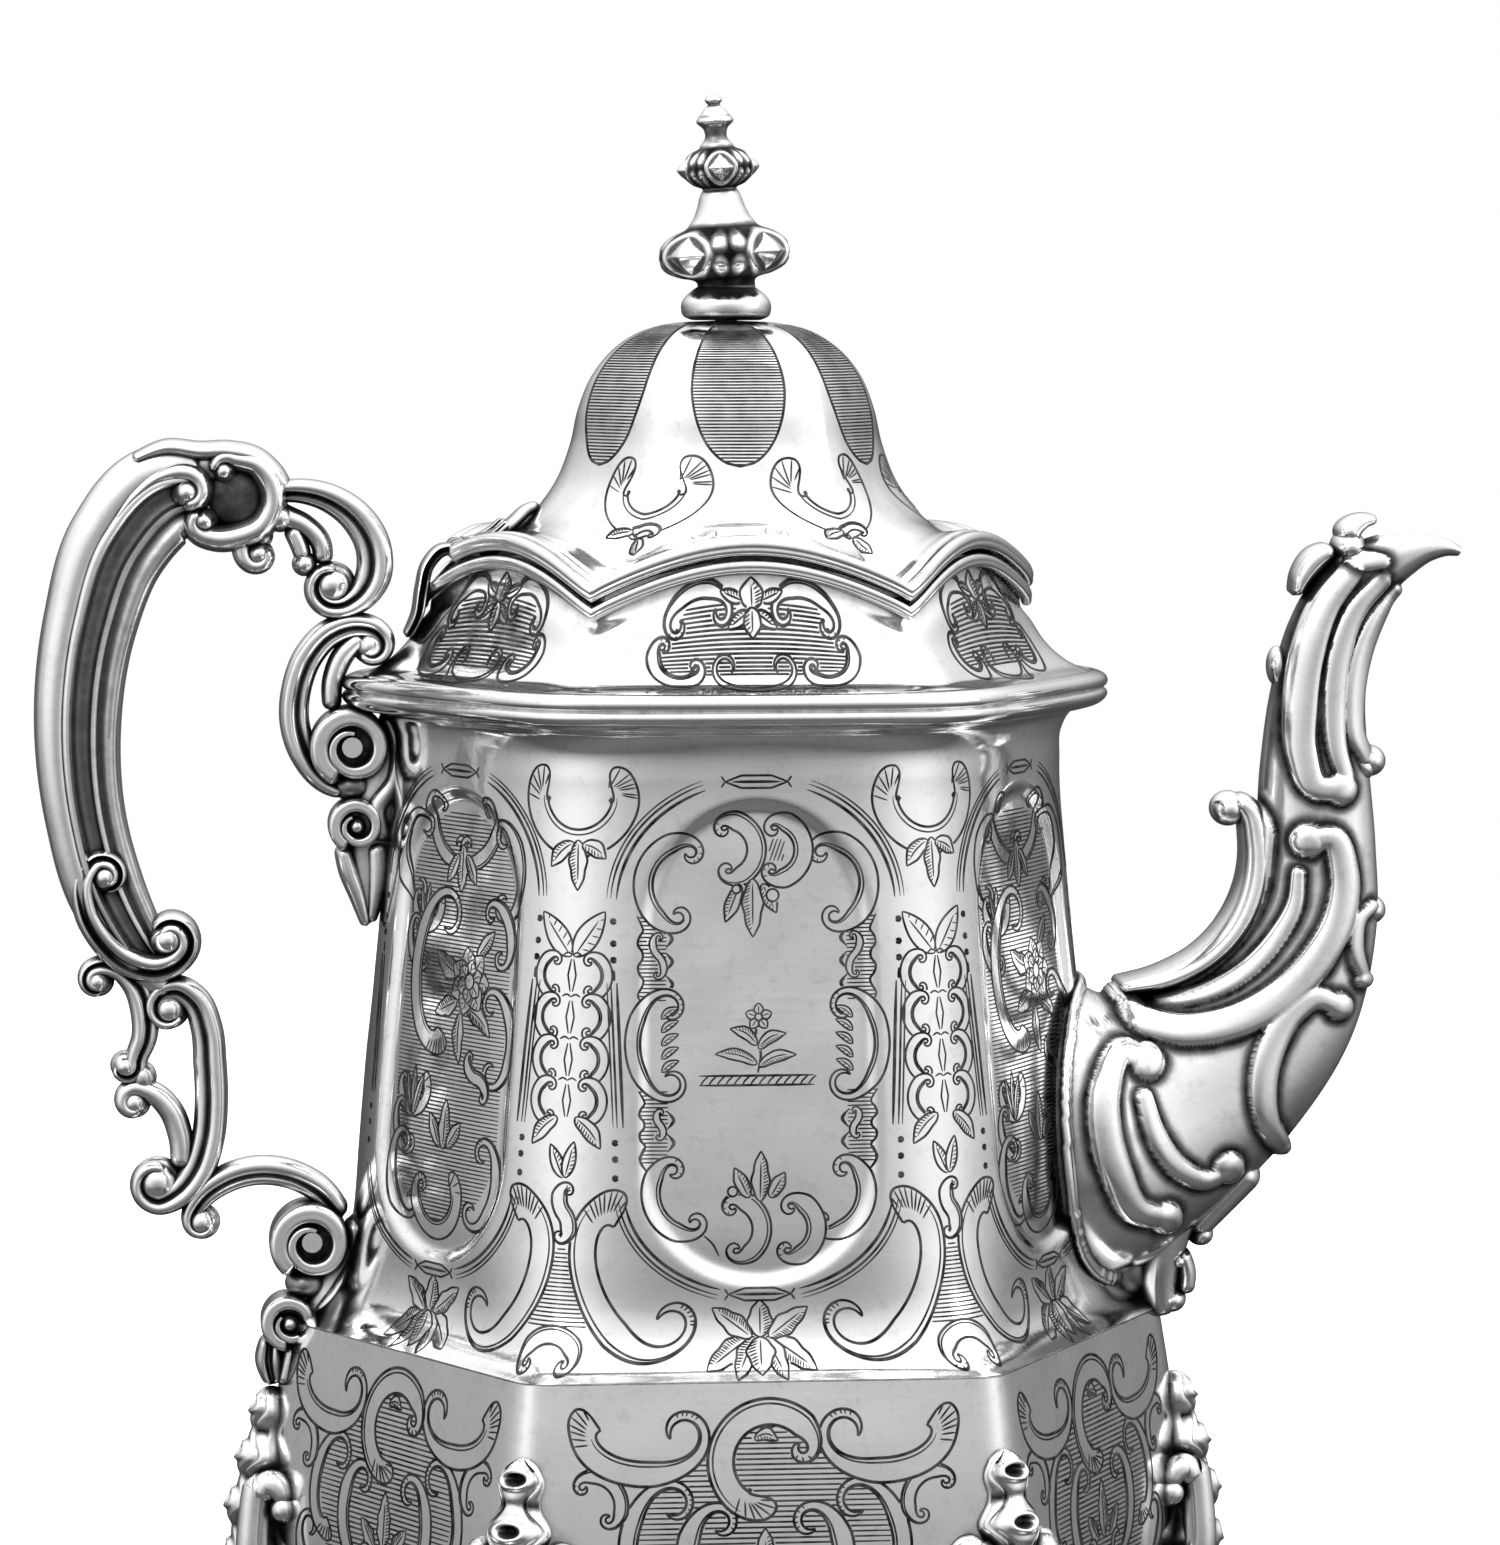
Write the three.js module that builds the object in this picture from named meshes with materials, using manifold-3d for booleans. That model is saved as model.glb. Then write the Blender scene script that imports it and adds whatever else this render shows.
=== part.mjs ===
// A hexagonal silver coffee pot on six scroll feet, with a hinged domed lid, a cast spout and a
// cast scroll handle. Millimetres, +Z up, +X towards the spout. The pot's own vertical axis
// stands at x = AXIS_X, which puts the frame's origin at the middle of the foot plane.
import * as THREE from "three";
import { mergeVertices } from "three/addons/utils/BufferGeometryUtils.js";
import Module from "manifold-3d";

const wasm = await Module();
wasm.setup();

// Driving dimensions.
const AXIS_X = -5; // the pot's axis, between the handle's back and the spout's tip
const SIDES = 6;
const WALL = 1; // sheet thickness of body, collar and lid
const GAP = 0.3; // kept between pieces that touch
const BASE_Z = 27.5; // underside of the body
const SHOULDER_Z = 104.5; // the sharp hexagonal edge
const SHOULDER_R = 73.7; // axis to a shoulder corner
const NECK_Z = 207.3; // where the body flares out to the brim
const BRIM_R = 64.2;
const MOUTH_Z = 224.4; // top of the collar at its cusps
const SCALLOP = 7.5; // rise of the rim from cusp to the middle of a side
const RIM_R = 51.6; // outside of the lid's moulding at a cusp
const DOME_Z = 271; // top of the lid's dome
const HINGE = { x: -44.6, z: 233, r: 1.9, pin: 0.85, bore: 1.15, half: 10.5, middle: 3.9 };
const FINIAL_LEAN = THREE.MathUtils.degToRad(-4); // the finial stands slightly towards the handle
const TURN_STEPS = 36;

const metal = (colour, roughness) =>
  new THREE.MeshStandardMaterial({ color: colour, roughness, metalness: 1 });
const SILVER = metal(0xe6e6e4, 0.14);
const CAST_SILVER = metal(0xd2d2d0, 0.22);
const PLAIN_SILVER = metal(0xc4c4c4, 0.35);

// ---- solids -------------------------------------------------------------------------------

function signedVolume(position, index) {
  const [a, b, c] = [new THREE.Vector3(), new THREE.Vector3(), new THREE.Vector3()];
  let sum = 0;
  for (let i = 0; i < index.length; i += 3) {
    a.fromArray(position, 3 * index[i]);
    b.fromArray(position, 3 * index[i + 1]);
    c.fromArray(position, 3 * index[i + 2]);
    sum += a.dot(b.cross(c));
  }
  return sum / 6;
}

// A closed three.js geometry as a manifold-3d solid, turned to face outwards.
function solid(geometry) {
  const bare = new THREE.BufferGeometry().setAttribute("position", geometry.getAttribute("position"));
  if (geometry.index) bare.setIndex(geometry.index);
  const merged = mergeVertices(bare, 1e-3);
  const position = merged.attributes.position.array;
  const index = [];
  const from = merged.index.array;
  for (let i = 0; i < from.length; i += 3) {
    const [a, b, c] = [from[i], from[i + 1], from[i + 2]];
    if (a !== b && b !== c && c !== a) index.push(a, b, c);
  }
  if (signedVolume(position, index) < 0) index.reverse();
  return new wasm.Manifold(
    new wasm.Mesh({ numProp: 3, vertProperties: position, triVerts: new Uint32Array(index) }),
  );
}

function geometryOf(body) {
  const { vertProperties, triVerts, numProp, numVert } = body.getMesh();
  const position = new Float32Array(3 * numVert);
  for (let i = 0; i < numVert; i++) {
    position.set(vertProperties.subarray(i * numProp, i * numProp + 3), 3 * i);
  }
  const geometry = new THREE.BufferGeometry();
  geometry.setAttribute("position", new THREE.BufferAttribute(position, 3));
  geometry.setIndex(new THREE.BufferAttribute(triVerts, 1));
  geometry.computeVertexNormals();
  return geometry;
}

const union = (...bodies) => bodies.reduce((all, body) => all.add(body));
const cut = (body, ...tools) => tools.reduce((left, tool) => left.subtract(tool), body);

function box(x0, x1, y0, y1, z0, z1) {
  const g = new THREE.BoxGeometry(x1 - x0, y1 - y0, z1 - z0);
  return solid(g.translate((x0 + x1) / 2, (y0 + y1) / 2, (z0 + z1) / 2));
}

// A cylinder along Y with its middle at (x, y, z).
function barrel(x, z, radius, length, sides = 16, y = 0) {
  return solid(new THREE.CylinderGeometry(radius, radius, length, sides).translate(x, y, z));
}

// A round profile of [radius, z] points, turned about the pot's axis.
function turned(profile, steps = 18) {
  const points = profile.map(([r, z]) => new THREE.Vector2(r, z));
  return solid(new THREE.LatheGeometry(points, steps).rotateX(Math.PI / 2));
}

// ---- the hexagonal plan -------------------------------------------------------------------

const HALF_SIDE = Math.PI / SIDES;

// Radius of a hexagon with its corners at `corner`, at this angle. A high `sharp` gives straight
// sides and crisp corners, and a low one gives bowed sides and soft corners.
function planRadius(angle, corner, sharp) {
  const apothem = corner * Math.pow(2, 1 / sharp) * Math.cos(HALF_SIDE);
  let sum = 0;
  for (let k = 0; k < SIDES; k++) {
    const towards = Math.cos(angle - (2 * k + 1) * HALF_SIDE);
    if (towards > 0) sum += Math.pow(towards, sharp);
  }
  return apothem / Math.pow(sum, 1 / sharp);
}

// 0 at a corner, 1 in the middle of a side.
function arch(angle) {
  const side = 2 * HALF_SIDE;
  const within = ((((angle % side) + side) % side) - HALF_SIDE) / HALF_SIDE;
  return 1 - within * within;
}

// A closed profile of [corner radius, z, sharp, lift] swept round the axis. Lift raises the
// middles of the sides above the corners.
function hexTurned(profile, steps = TURN_STEPS) {
  const points = profile.map(([r, z]) => new THREE.Vector2(r, z));
  const g = new THREE.LatheGeometry([...points, points[0]], steps);
  const position = g.getAttribute("position");
  const rows = profile.length + 1;
  for (let i = 0; i < position.count; i++) {
    const [r, z, sharp, lift = 0] = profile[(i % rows) % profile.length];
    const angle = (Math.floor(i / rows) % steps) * ((2 * Math.PI) / steps);
    const radius = r === 0 ? 0 : planRadius(angle, r, sharp);
    position.setXYZ(i, radius * Math.cos(angle), radius * Math.sin(angle), z + lift * arch(angle));
  }
  return solid(g);
}

// The solid block inside an outer profile, grown outwards by `grow`.
function hexBlock(outer, grow) {
  const skin = outer.map(([r, z, sharp, lift = 0]) => [r + grow, z, sharp, lift]);
  const [low, high] = [skin[0], skin[skin.length - 1]];
  const foot = [0.01, low[1] - grow, low[2], low[3]];
  const head = [0.01, high[1] + grow, high[2], high[3]];
  const rim = [high[0], high[1] + grow, high[2], high[3]];
  const sole = [low[0], low[1] - grow, low[2], low[3]];
  return hexTurned([foot, sole, ...skin, rim, head]);
}

// A wall of thickness WALL inside an outer profile.
function hexWall(outer, thickness = WALL) {
  const inner = outer.map(([r, z, sharp, lift = 0]) => [r - thickness, z, sharp, lift]);
  return hexTurned([...outer, ...inner.reverse()]);
}

// A ring of rounded section round the pot, `r` and `z` at the middle of the section.
function hexRing(r, z, halfWidth, halfHeight, sharp, lift = 0) {
  const section = [];
  for (let k = 0; k < 6; k++) {
    const a = (k * Math.PI) / 3 + Math.PI / 6;
    section.push([r + halfWidth * Math.cos(a), z + halfHeight * Math.sin(a), sharp, lift]);
  }
  return hexTurned(section);
}

// ---- swept castings -----------------------------------------------------------------------

// A casting along a path of [x, z, across, through] points in the pot's middle plane: `across` is
// the half thickness in that plane and `through` the half thickness along Y.
function swept(path, sides = 8, perSpan = 2) {
  const curve = new THREE.CatmullRomCurve3(path.map(([x, z]) => new THREE.Vector3(x, 0, z)));
  const last = path.length - 1;
  const rings = last * perSpan + 1;
  const position = [];
  const index = [];
  for (let i = 0; i < rings; i++) {
    const t = i / (rings - 1);
    const at = t * last;
    const k = Math.min(Math.floor(at), last - 1);
    const mix = at - k;
    const across = THREE.MathUtils.lerp(path[k][2], path[k + 1][2], mix);
    const through = THREE.MathUtils.lerp(path[k][3], path[k + 1][3], mix);
    const centre = curve.getPoint(t);
    const along = curve.getTangent(t);
    for (let j = 0; j < sides; j++) {
      const a = (2 * Math.PI * j) / sides;
      const side = across * Math.cos(a);
      position.push(centre.x - along.z * side, through * Math.sin(a), centre.z + along.x * side);
    }
    for (let j = 0; i > 0 && j < sides; j++) {
      const [a, b] = [i * sides + j, i * sides + ((j + 1) % sides)];
      index.push(a - sides, b - sides, b, a - sides, b, a);
    }
  }
  for (let j = 1; j < sides - 1; j++) {
    const end = (rings - 1) * sides;
    index.push(0, j + 1, j, end, end + j, end + j + 1);
  }
  const g = new THREE.BufferGeometry();
  g.setAttribute("position", new THREE.BufferAttribute(new Float32Array(position), 3));
  g.setIndex(index);
  return solid(g);
}

// ---- profiles: [corner radius, z, sharp, lift] --------------------------------------------

const LOWER_BODY = [
  [44, BASE_Z, 12], [51, 30.6, 12], [61.5, 37.2, 14], [70, 46, 18], [75, 56, 24],
  [77.2, 68, 30], [77, 80, 40], [75.5, 93, 50], [SHOULDER_R, SHOULDER_Z - GAP, 60],
];
const UPPER_BODY = [
  [SHOULDER_R, SHOULDER_Z, 60], [70.6, 106, 40], [67.2, 109, 24], [64.2, 114.5, 14],
  [62.6, 123, 9], [61.8, 133, 8], [60.4, 149, 8], [58.4, 168, 8], [56.8, 185, 8],
  [56, 198, 8], [56.3, 203.2, 8], [57.8, 205.8, 9], [61.2, NECK_Z, 10],
];
const COLLAR = [
  [61.2, 208.6, 10], [61.2, 210.9, 10], [58.6, 213, 12, 0.3], [55.8, 215, 15, 1.2],
  [53.4, 217.6, 20, 2.9], [51.4, 220.4, 26, 5], [49.6, 222.6, 30, 6.6],
  [49.3, MOUTH_Z, 30, SCALLOP],
];
const DOME = [
  [49.1, 227.2, 26, SCALLOP], [49.1, 229.2, 26, SCALLOP], [46, 230, 22, 6.7],
  [42, 231.3, 16, 5.3], [38, 233.6, 12, 3.8], [34, 237, 10, 2], [31, 240.6, 9, 0.8],
  [28.5, 244.4, 8], [26.1, 250.5, 8], [24.7, 256.5, 8], [22.4, 262, 8], [19.2, 266, 7],
  [15, 268.9, 7], [9.4, 270.5, 6], [2.4, DOME_Z, 6],
];

const collarRim = (grow) => hexRing(RIM_R - 1.05, 224.5, 0.9 + grow, 1.1 + grow, 26, SCALLOP);
const bodyBlock = union(hexBlock(LOWER_BODY, GAP), hexBlock(UPPER_BODY, GAP));
const brimBlock = hexBlock([[BRIM_R, 207.2, 10], [BRIM_R, 211.6, 10]], GAP);
const domeBlock = (grow) =>
  hexTurned([[0.01, 224, 9], ...DOME.map(([r, z, s, l = 0]) => [r + grow, z + grow * 0.6, s, l]),
    [0.01, DOME_Z + grow, 6]]);

// ---- the body -----------------------------------------------------------------------------

const SPOUT_HOLE = { z: 135, r: 9 };

function upperBody() {
  const hole = new THREE.CylinderGeometry(SPOUT_HOLE.r, SPOUT_HOLE.r, 30, 16);
  return cut(hexWall(UPPER_BODY), solid(hole.rotateZ(Math.PI / 2).translate(60, 0, SPOUT_HOLE.z)));
}

const basePlate = () =>
  hexTurned([[0.01, 25.8, 12], [42.4, 25.8, 12], [42.4, BASE_Z - GAP, 12], [0.01, BASE_Z - GAP, 12]]);

// ---- the hinge ----------------------------------------------------------------------------

const hingeBore = () => barrel(HINGE.x, HINGE.z, HINGE.bore, 40, 12);

// Everything that the lid leaves free for the barrel and for what lies behind its axis.
const hingeRoom = (less = 0) =>
  union(box(-80, HINGE.x + HINGE.r + 0.4 - less, less - HINGE.half - 0.4, HINGE.half + 0.4 - less, 200, 237),
    box(-80, HINGE.x - 0.1 - less, -40, 40, 200, 260));

function bodyHinge() {
  const knuckle = barrel(HINGE.x, HINGE.z, HINGE.r, 2 * HINGE.middle, 16);
  const post = box(-50.8, HINGE.x - 0.6, -HINGE.middle, HINGE.middle, 222, HINGE.z + 0.4);
  return cut(union(knuckle, post), hingeBore(), hexBlock(COLLAR, GAP), collarRim(GAP));
}

// A pointed leaf lying on the dome's back ridge, with the lid's two knuckles at its foot.
function lidHinge() {
  const outline = new THREE.Shape();
  outline.moveTo(-43.6, -11);
  outline.quadraticCurveTo(-37, -8, -35, -3.4);
  outline.lineTo(-29.5, 0);
  outline.lineTo(-35, 3.4);
  outline.quadraticCurveTo(-37, 8, -43.6, 11);
  const plan = new THREE.ExtrudeGeometry(outline, { depth: 40, bevelEnabled: false, curveSegments: 4 });
  const leaf = solid(plan.translate(0, 0, 231.4)).intersect(domeBlock(2));
  const long = HINGE.half - HINGE.middle - GAP;
  const middle = HINGE.middle + GAP + long / 2;
  const knuckles = [-middle, middle].map((y) =>
    union(barrel(HINGE.x, HINGE.z, HINGE.r, long, 16, y),
      box(HINGE.x, HINGE.x + 3.4, y - long / 2, y + long / 2, 233.2, 234.9)));
  const room = barrel(HINGE.x, HINGE.z, HINGE.r + GAP, 2 * (HINGE.middle + GAP), 16);
  return cut(union(leaf, ...knuckles), cut(domeBlock(0.5), hingeRoom(GAP)), room, hingeBore());
}

// ---- the lid ------------------------------------------------------------------------------

function lidDome() {
  const inner = DOME.map(([r, z, s, l = 0]) => [r - WALL, z - WALL * 0.7, s, l]);
  inner[0] = [DOME[0][0] - WALL, DOME[0][1], DOME[0][2], SCALLOP];
  inner.pop();
  inner.push([2.4, DOME_Z - WALL, 6]);
  return cut(hexTurned([...DOME, ...inner.reverse()]), hingeRoom());
}

const lidRim = () => cut(hexRing(RIM_R - 1, 227.8, 1.1, 1.4, 26, SCALLOP), hingeRoom());
const lidFlange = () =>
  cut(hexTurned([[45.2, 219, 26], [46.3, 219, 26], [46.3, 227.6, 26, 5.4], [45.2, 227.6, 26, 5.4]]),
    hingeRoom());

// ---- the finial ---------------------------------------------------------------------------

const FINIAL_Z = 277.5;
const FINIAL_BASE = [[0, 271.5], [6.5, 271.5], [7.2, 272.4], [7.2, 274.6], [6.4, 276], [5.4, 276.8], [0, 276.8]];
const FINIAL = [
  [0, 0], [5.3, 0], [5.6, 1.1], [8.6, 2], [10.8, 3.3], [11.2, 4.5], [10.7, 6.1], [9, 7.8],
  [7.4, 9], [5.2, 10.7], [4.1, 12.7], [3.2, 15.4], [4.4, 16.5], [6.6, 19.3], [4.5, 21.6],
  [2.6, 22.9], [1.8, 24.3], [2, 25.3], [3.1, 26.9], [2.1, 28.2], [1.2, 29.2], [1.35, 30.1],
  [0.9, 30.8], [0, 31],
];
const finialStud = () => turned([[0, 264.6], [1.9, 264.6], [1.9, 271.2], [0, 271.2]], 12);
const finialNut = () => turned([[2.6, 266.4], [4.6, 266.4], [4.6, 269.4], [2.6, 269.4], [2.6, 266.4]], 6);

// ---- the spout ----------------------------------------------------------------------------

const SPOUT = [
  [52, 134, 24, 22], [62, 135.5, 25.5, 22.5], [71.5, 138.5, 21.2, 17.5], [83.3, 146, 17, 13.5],
  [92.6, 156.8, 14.2, 11], [97.8, 170, 11.4, 9.4], [98.8, 182, 10, 8.4], [98.6, 195.5, 9, 7.6],
  [99, 207.2, 7.9, 6.8], [101.2, 218.8, 7, 6.2], [106.2, 227.2, 5.9, 5.7], [113.6, 231.2, 4, 5],
  [120.4, 231.8, 2.3, 3.4], [124.8, 231, 0.6, 1.2],
];
const SPOUT_BORE = [
  [48, 134, 22, 20], [62, 135.5, 23.5, 20.5], [71.5, 138.5, 19.2, 15.5], [83.3, 146, 15, 11.5],
  [92.6, 156.8, 12.2, 9], [97.8, 170, 9.5, 7.6], [98.8, 182, 8.2, 6.6], [98.6, 195.5, 7.2, 5.8],
  [99, 207.2, 6.2, 5.1], [101.4, 219, 5.4, 4.6], [106.4, 227.8, 4.3, 4.2], [112.6, 232.8, 3.4, 3.7],
  [118, 236, 2.6, 2.8], [122, 240, 2, 2],
];

function spoutHalf(sign) {
  const whole = cut(swept(SPOUT, 16), swept(SPOUT_BORE, 12), bodyBlock);
  const keep = sign > 0 ? box(40, 140, GAP / 2, 60, 80, 260) : box(40, 140, -60, -GAP / 2, 80, 260);
  return whole.intersect(keep);
}

// A pierced disc over the hole in the body's wall.
function strainer() {
  let plate = solid(new THREE.CylinderGeometry(13, 13, 1, 24));
  for (let k = 0; k < 7; k++) {
    const [away, a] = [k ? 6 : 0, (k * Math.PI) / 3];
    const pin = new THREE.CylinderGeometry(1.7, 1.7, 6, 8);
    plate = plate.subtract(solid(pin.translate(away * Math.cos(a), 0, away * Math.sin(a))));
  }
  return plate.rotate([0, 0, 90]).rotate([0, -4.8, 0]).translate([62.75, 0, SPOUT_HOLE.z]);
}

// ---- the handle: [x, z, across, through] --------------------------------------------------

const GRIP = [
  [-88.6, 242.8, 7.2, 4.8], [-94, 241.2, 8.4, 5.6], [-100.8, 234.4, 8.4, 6], [-105.5, 221.5, 7.6, 6],
  [-107.8, 204.3, 7.1, 6], [-106.6, 188.8, 6.6, 5.8], [-103, 175.9, 6.4, 5.5], [-99.8, 169.6, 5.4, 5],
];
const UPPER_SCROLL = [
  [-75.5, 244.6, 1.8, 3.4], [-70, 242.4, 1.9, 3.4], [-64.6, 240.4, 2, 3.2], [-60.6, 236.4, 2.2, 3.2],
  [-58.6, 231.9, 2.4, 3.2], [-59.8, 227.6, 2.3, 3.2], [-63, 224.8, 2.4, 3.2], [-67, 226.2, 1.7, 3],
];
const UPPER_STRAP = [[-74.2, 237.8, 1.4, 2.4], [-70.4, 235.4, 1.1, 2.2], [-67.8, 232.2, 1, 2.2], [-66.2, 228.6, 1.4, 2.4]];
const BRACKET = [
  [-60.2, 219.6, 1.6, 2.8], [-63.8, 220.6, 1.9, 2.8], [-68, 217.8, 1.8, 2.8], [-70.8, 213.2, 1.8, 2.8],
  [-72, 207.6, 1.9, 2.8], [-71.4, 202.4, 2, 3], [-70.2, 200.8, 1.6, 3],
];
const BRACKET_STRAP = [[-63.6, 219.8, 1, 2], [-66, 216.4, 1.1, 2], [-67.2, 212.6, 1.1, 2], [-67, 208.4, 1, 2]];
const LOWER_A = [
  [-103, 161.8, 1.8, 3], [-100, 161.8, 1.8, 3], [-97.6, 157.4, 1.9, 3], [-97.2, 152.6, 1.7, 3],
  [-98.2, 149.6, 1.5, 3], [-100.4, 148.4, 1.5, 3],
];
const LOWER_B = [[-99.8, 142.6, 1.4, 2.8], [-97, 142.6, 1.4, 2.8], [-94.2, 139.4, 1.5, 2.8], [-92.6, 135, 1.5, 2.8], [-92, 130.4, 1.5, 2.8]];
const LOWER_C = [
  [-93.4, 159.4, 1.8, 3.2], [-90.4, 160, 1.8, 3.2], [-87.8, 156.2, 1.9, 3.2], [-86.4, 150.4, 2, 3.2],
  [-86.2, 144.4, 2, 3.2], [-86.8, 138.4, 2, 3.2], [-88.4, 132.4, 2, 3.2], [-91.2, 128.4, 2, 3.2],
  [-94.2, 127.4, 1.8, 3.2],
];
const LOWER_ARM = [
  [-87.4, 120.6, 1.8, 2.8], [-86.2, 124, 1.7, 2.8], [-82.6, 127.6, 1.7, 2.8], [-77, 129.3, 1.7, 2.8],
  [-71.6, 128.8, 1.6, 2.8], [-67.6, 126.4, 1.4, 2.8],
];
const UPPER_VOLUTE = { x: -62.6, z: 200.7, r: 6.8 };
const LOWER_VOLUTE = { x: -69.7, z: 118.2, r: 6.8 };
const PIN_R = 1.7;

function upperSocket() {
  const bodyOf = union(barrel(UPPER_VOLUTE.x, UPPER_VOLUTE.z, UPPER_VOLUTE.r, 11),
    barrel(-61.8, 187.8, 4.8, 9), swept([[-58, 203, 4, 5], [-57.5, 196, 5, 5], [-58.6, 188, 3.4, 4.6],
      [-60.4, 181, 2.6, 3.6], [-60.6, 173.4, 1, 1.6]], 8));
  return cut(bodyOf, bodyBlock, brimBlock, barrel(UPPER_VOLUTE.x, UPPER_VOLUTE.z, PIN_R + GAP, 30, 14),
    swept(fatter(BRACKET)), barrel(-70.2, 200.8, 2.4, 7, 12));
}

function lowerSocket() {
  const bodyOf = union(barrel(LOWER_VOLUTE.x, LOWER_VOLUTE.z, LOWER_VOLUTE.r, 11),
    barrel(-73.1, 105.1, 4.9, 9), swept([[-63.5, 119, 3, 5], [-65, 112, 3, 5], [-69, 106, 3.4, 4.6],
      [-74, 100.4, 2.6, 3.6], [-77.2, 96.4, 1, 2]], 8));
  return cut(bodyOf, bodyBlock, barrel(LOWER_VOLUTE.x, LOWER_VOLUTE.z, PIN_R + GAP, 30, 14),
    swept(fatter(LOWER_ARM)));
}

const fatter = (path) => path.map(([x, z, across, through]) => [x, z, across + GAP, through + GAP]);

// The same solid a little fatter, for cutting its neighbour back.
function grown(body) {
  const { min, max } = body.boundingBox();
  const middle = min.map((low, i) => (low + max[i]) / 2);
  const scale = min.map((low, i) => 1 + (2 * GAP) / (max[i] - low));
  return body.translate(middle.map((m) => -m)).scale(scale).translate(middle);
}

const gripSolid = () => union(swept(GRIP, 12), barrel(-92.2, 169.2, 3.6, 9),
  swept([[-99.6, 169, 5.2, 5], [-95.6, 167.4, 3.4, 4.6], [-92.4, 167.4, 2.4, 4.4]], 10));

function upperScroll() {
  const dish = barrel(-80.6, 241.9, 7.4, 8, 22);
  const all = union(dish, swept(UPPER_SCROLL), barrel(-66, 227.9, 2.5, 6.4), swept(UPPER_STRAP, 8),
    barrel(-69.7, 230.9, 2, 4.6, 12), barrel(-73.8, 238.4, 2.2, 6, 12), barrel(-77.6, 232.7, 2.9, 5.6, 14));
  return cut(all, swept(fatter(GRIP), 12),
    box(-80, -50, -20, 20, 200, 222.4));
}

function bracket() {
  const all = union(swept(BRACKET), barrel(-59.4, 217.6, 2, 5.6, 14), swept(BRACKET_STRAP, 8));
  return cut(all, box(-80, -50, -20, 20, 222.1, 240), brimBlock, bodyBlock);
}

function lowerScroll() {
  const all = union(swept(LOWER_A), swept(LOWER_B, 8), swept(LOWER_C), barrel(-103, 161.2, 2.6, 6.4, 14),
    barrel(-100.6, 148.6, 2.2, 6.2, 14), barrel(-99.6, 143.2, 2, 5.8, 14), barrel(-93.4, 158.6, 2.6, 6.6, 14),
    barrel(-95.2, 130, 3.6, 6.8, 18), box(-99.8, -97.4, -2.4, 2.4, 142.6, 149.6),
    box(-101, -91, -2.6, 2.6, 160.4, 163));
  return cut(all, grown(gripSolid()));
}

const lowerArm = () => cut(union(swept(LOWER_ARM), barrel(-87.6, 121.2, 2.3, 5.8, 14),
  barrel(-88, 126.4, 2.4, 5, 12)), swept(fatter(LOWER_C)));
const pin = (at) => barrel(at.x, at.z, PIN_R, 12.4, 14);

// ---- the feet, along +X and turned into place ---------------------------------------------

const LEAF = [
  [76.8, 93.4, 1.8, 1.8], [78.2, 87.4, 3.4, 3.4], [79.8, 78, 4.4, 4.6], [80, 68, 4.6, 6.6],
  [78.6, 58, 4.4, 7.4], [74.6, 49.4, 3.4, 5.4],
];
const FOOT = [
  [72.6, 46.8, 3, 4.6], [66.4, 38.4, 3.6, 5.2], [63.4, 28.8, 3.4, 4.8], [64.6, 18.6, 3, 4.2],
  [69.8, 9.8, 2.8, 4.2], [76, 5.4, 3, 4.6],
];

function leafMount(angle) {
  return cut(swept(LEAF, 8, 1).rotate([0, 0, angle]), bodyBlock);
}

function scrollFoot(angle) {
  const toe = union(swept(FOOT, 8), barrel(78.4, 5, 5, 10, 14), box(74.4, 82.4, -5, 5, 0, 2));
  const free = cut(toe, box(50, 100, -20, 20, -10, 0), swept(fatter(LEAF), 8, 1));
  return free.rotate([0, 0, angle]).subtract(bodyBlock);
}

// ---- assembly -----------------------------------------------------------------------------

const pot = new THREE.Group();
pot.position.x = AXIS_X;
const lid = new THREE.Group();
pot.add(lid);

function place(group, name, body, material) {
  const mesh = new THREE.Mesh(geometryOf(body), material);
  mesh.name = name;
  group.add(mesh);
  return mesh;
}

place(pot, "upper_body", upperBody(), SILVER);
place(pot, "lower_body", hexWall(LOWER_BODY), SILVER);
place(pot, "base_plate", basePlate(), PLAIN_SILVER);
place(pot, "collar", hexWall(COLLAR), SILVER);
place(pot, "brim_moulding", hexRing(BRIM_R - 1.4, 209.3, 1.4, 2.2, 10).subtract(hexBlock(COLLAR, GAP))
  .subtract(bodyBlock), SILVER);
place(pot, "collar_rim", collarRim(0).subtract(hexBlock(COLLAR, GAP)), SILVER);
place(pot, "body_hinge_leaf", bodyHinge(), PLAIN_SILVER);
place(pot, "hinge_pin", barrel(HINGE.x, HINGE.z, HINGE.pin, 2 * HINGE.half, 12), PLAIN_SILVER);
place(pot, "spout_far_half", spoutHalf(1), CAST_SILVER);
place(pot, "spout_near_half", spoutHalf(-1), CAST_SILVER);
place(pot, "spout_strainer", strainer(), PLAIN_SILVER);
place(pot, "handle_grip", gripSolid(), CAST_SILVER);
place(pot, "handle_upper_scroll", upperScroll(), CAST_SILVER);
place(pot, "handle_bracket", bracket(), CAST_SILVER);
place(pot, "handle_upper_socket", upperSocket(), CAST_SILVER);
place(pot, "handle_lower_scroll", lowerScroll(), CAST_SILVER);
place(pot, "handle_lower_arm", lowerArm(), CAST_SILVER);
place(pot, "handle_lower_socket", lowerSocket(), CAST_SILVER);
place(pot, "upper_handle_pin", pin(UPPER_VOLUTE), PLAIN_SILVER);
place(pot, "lower_handle_pin", pin(LOWER_VOLUTE), PLAIN_SILVER);
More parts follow.
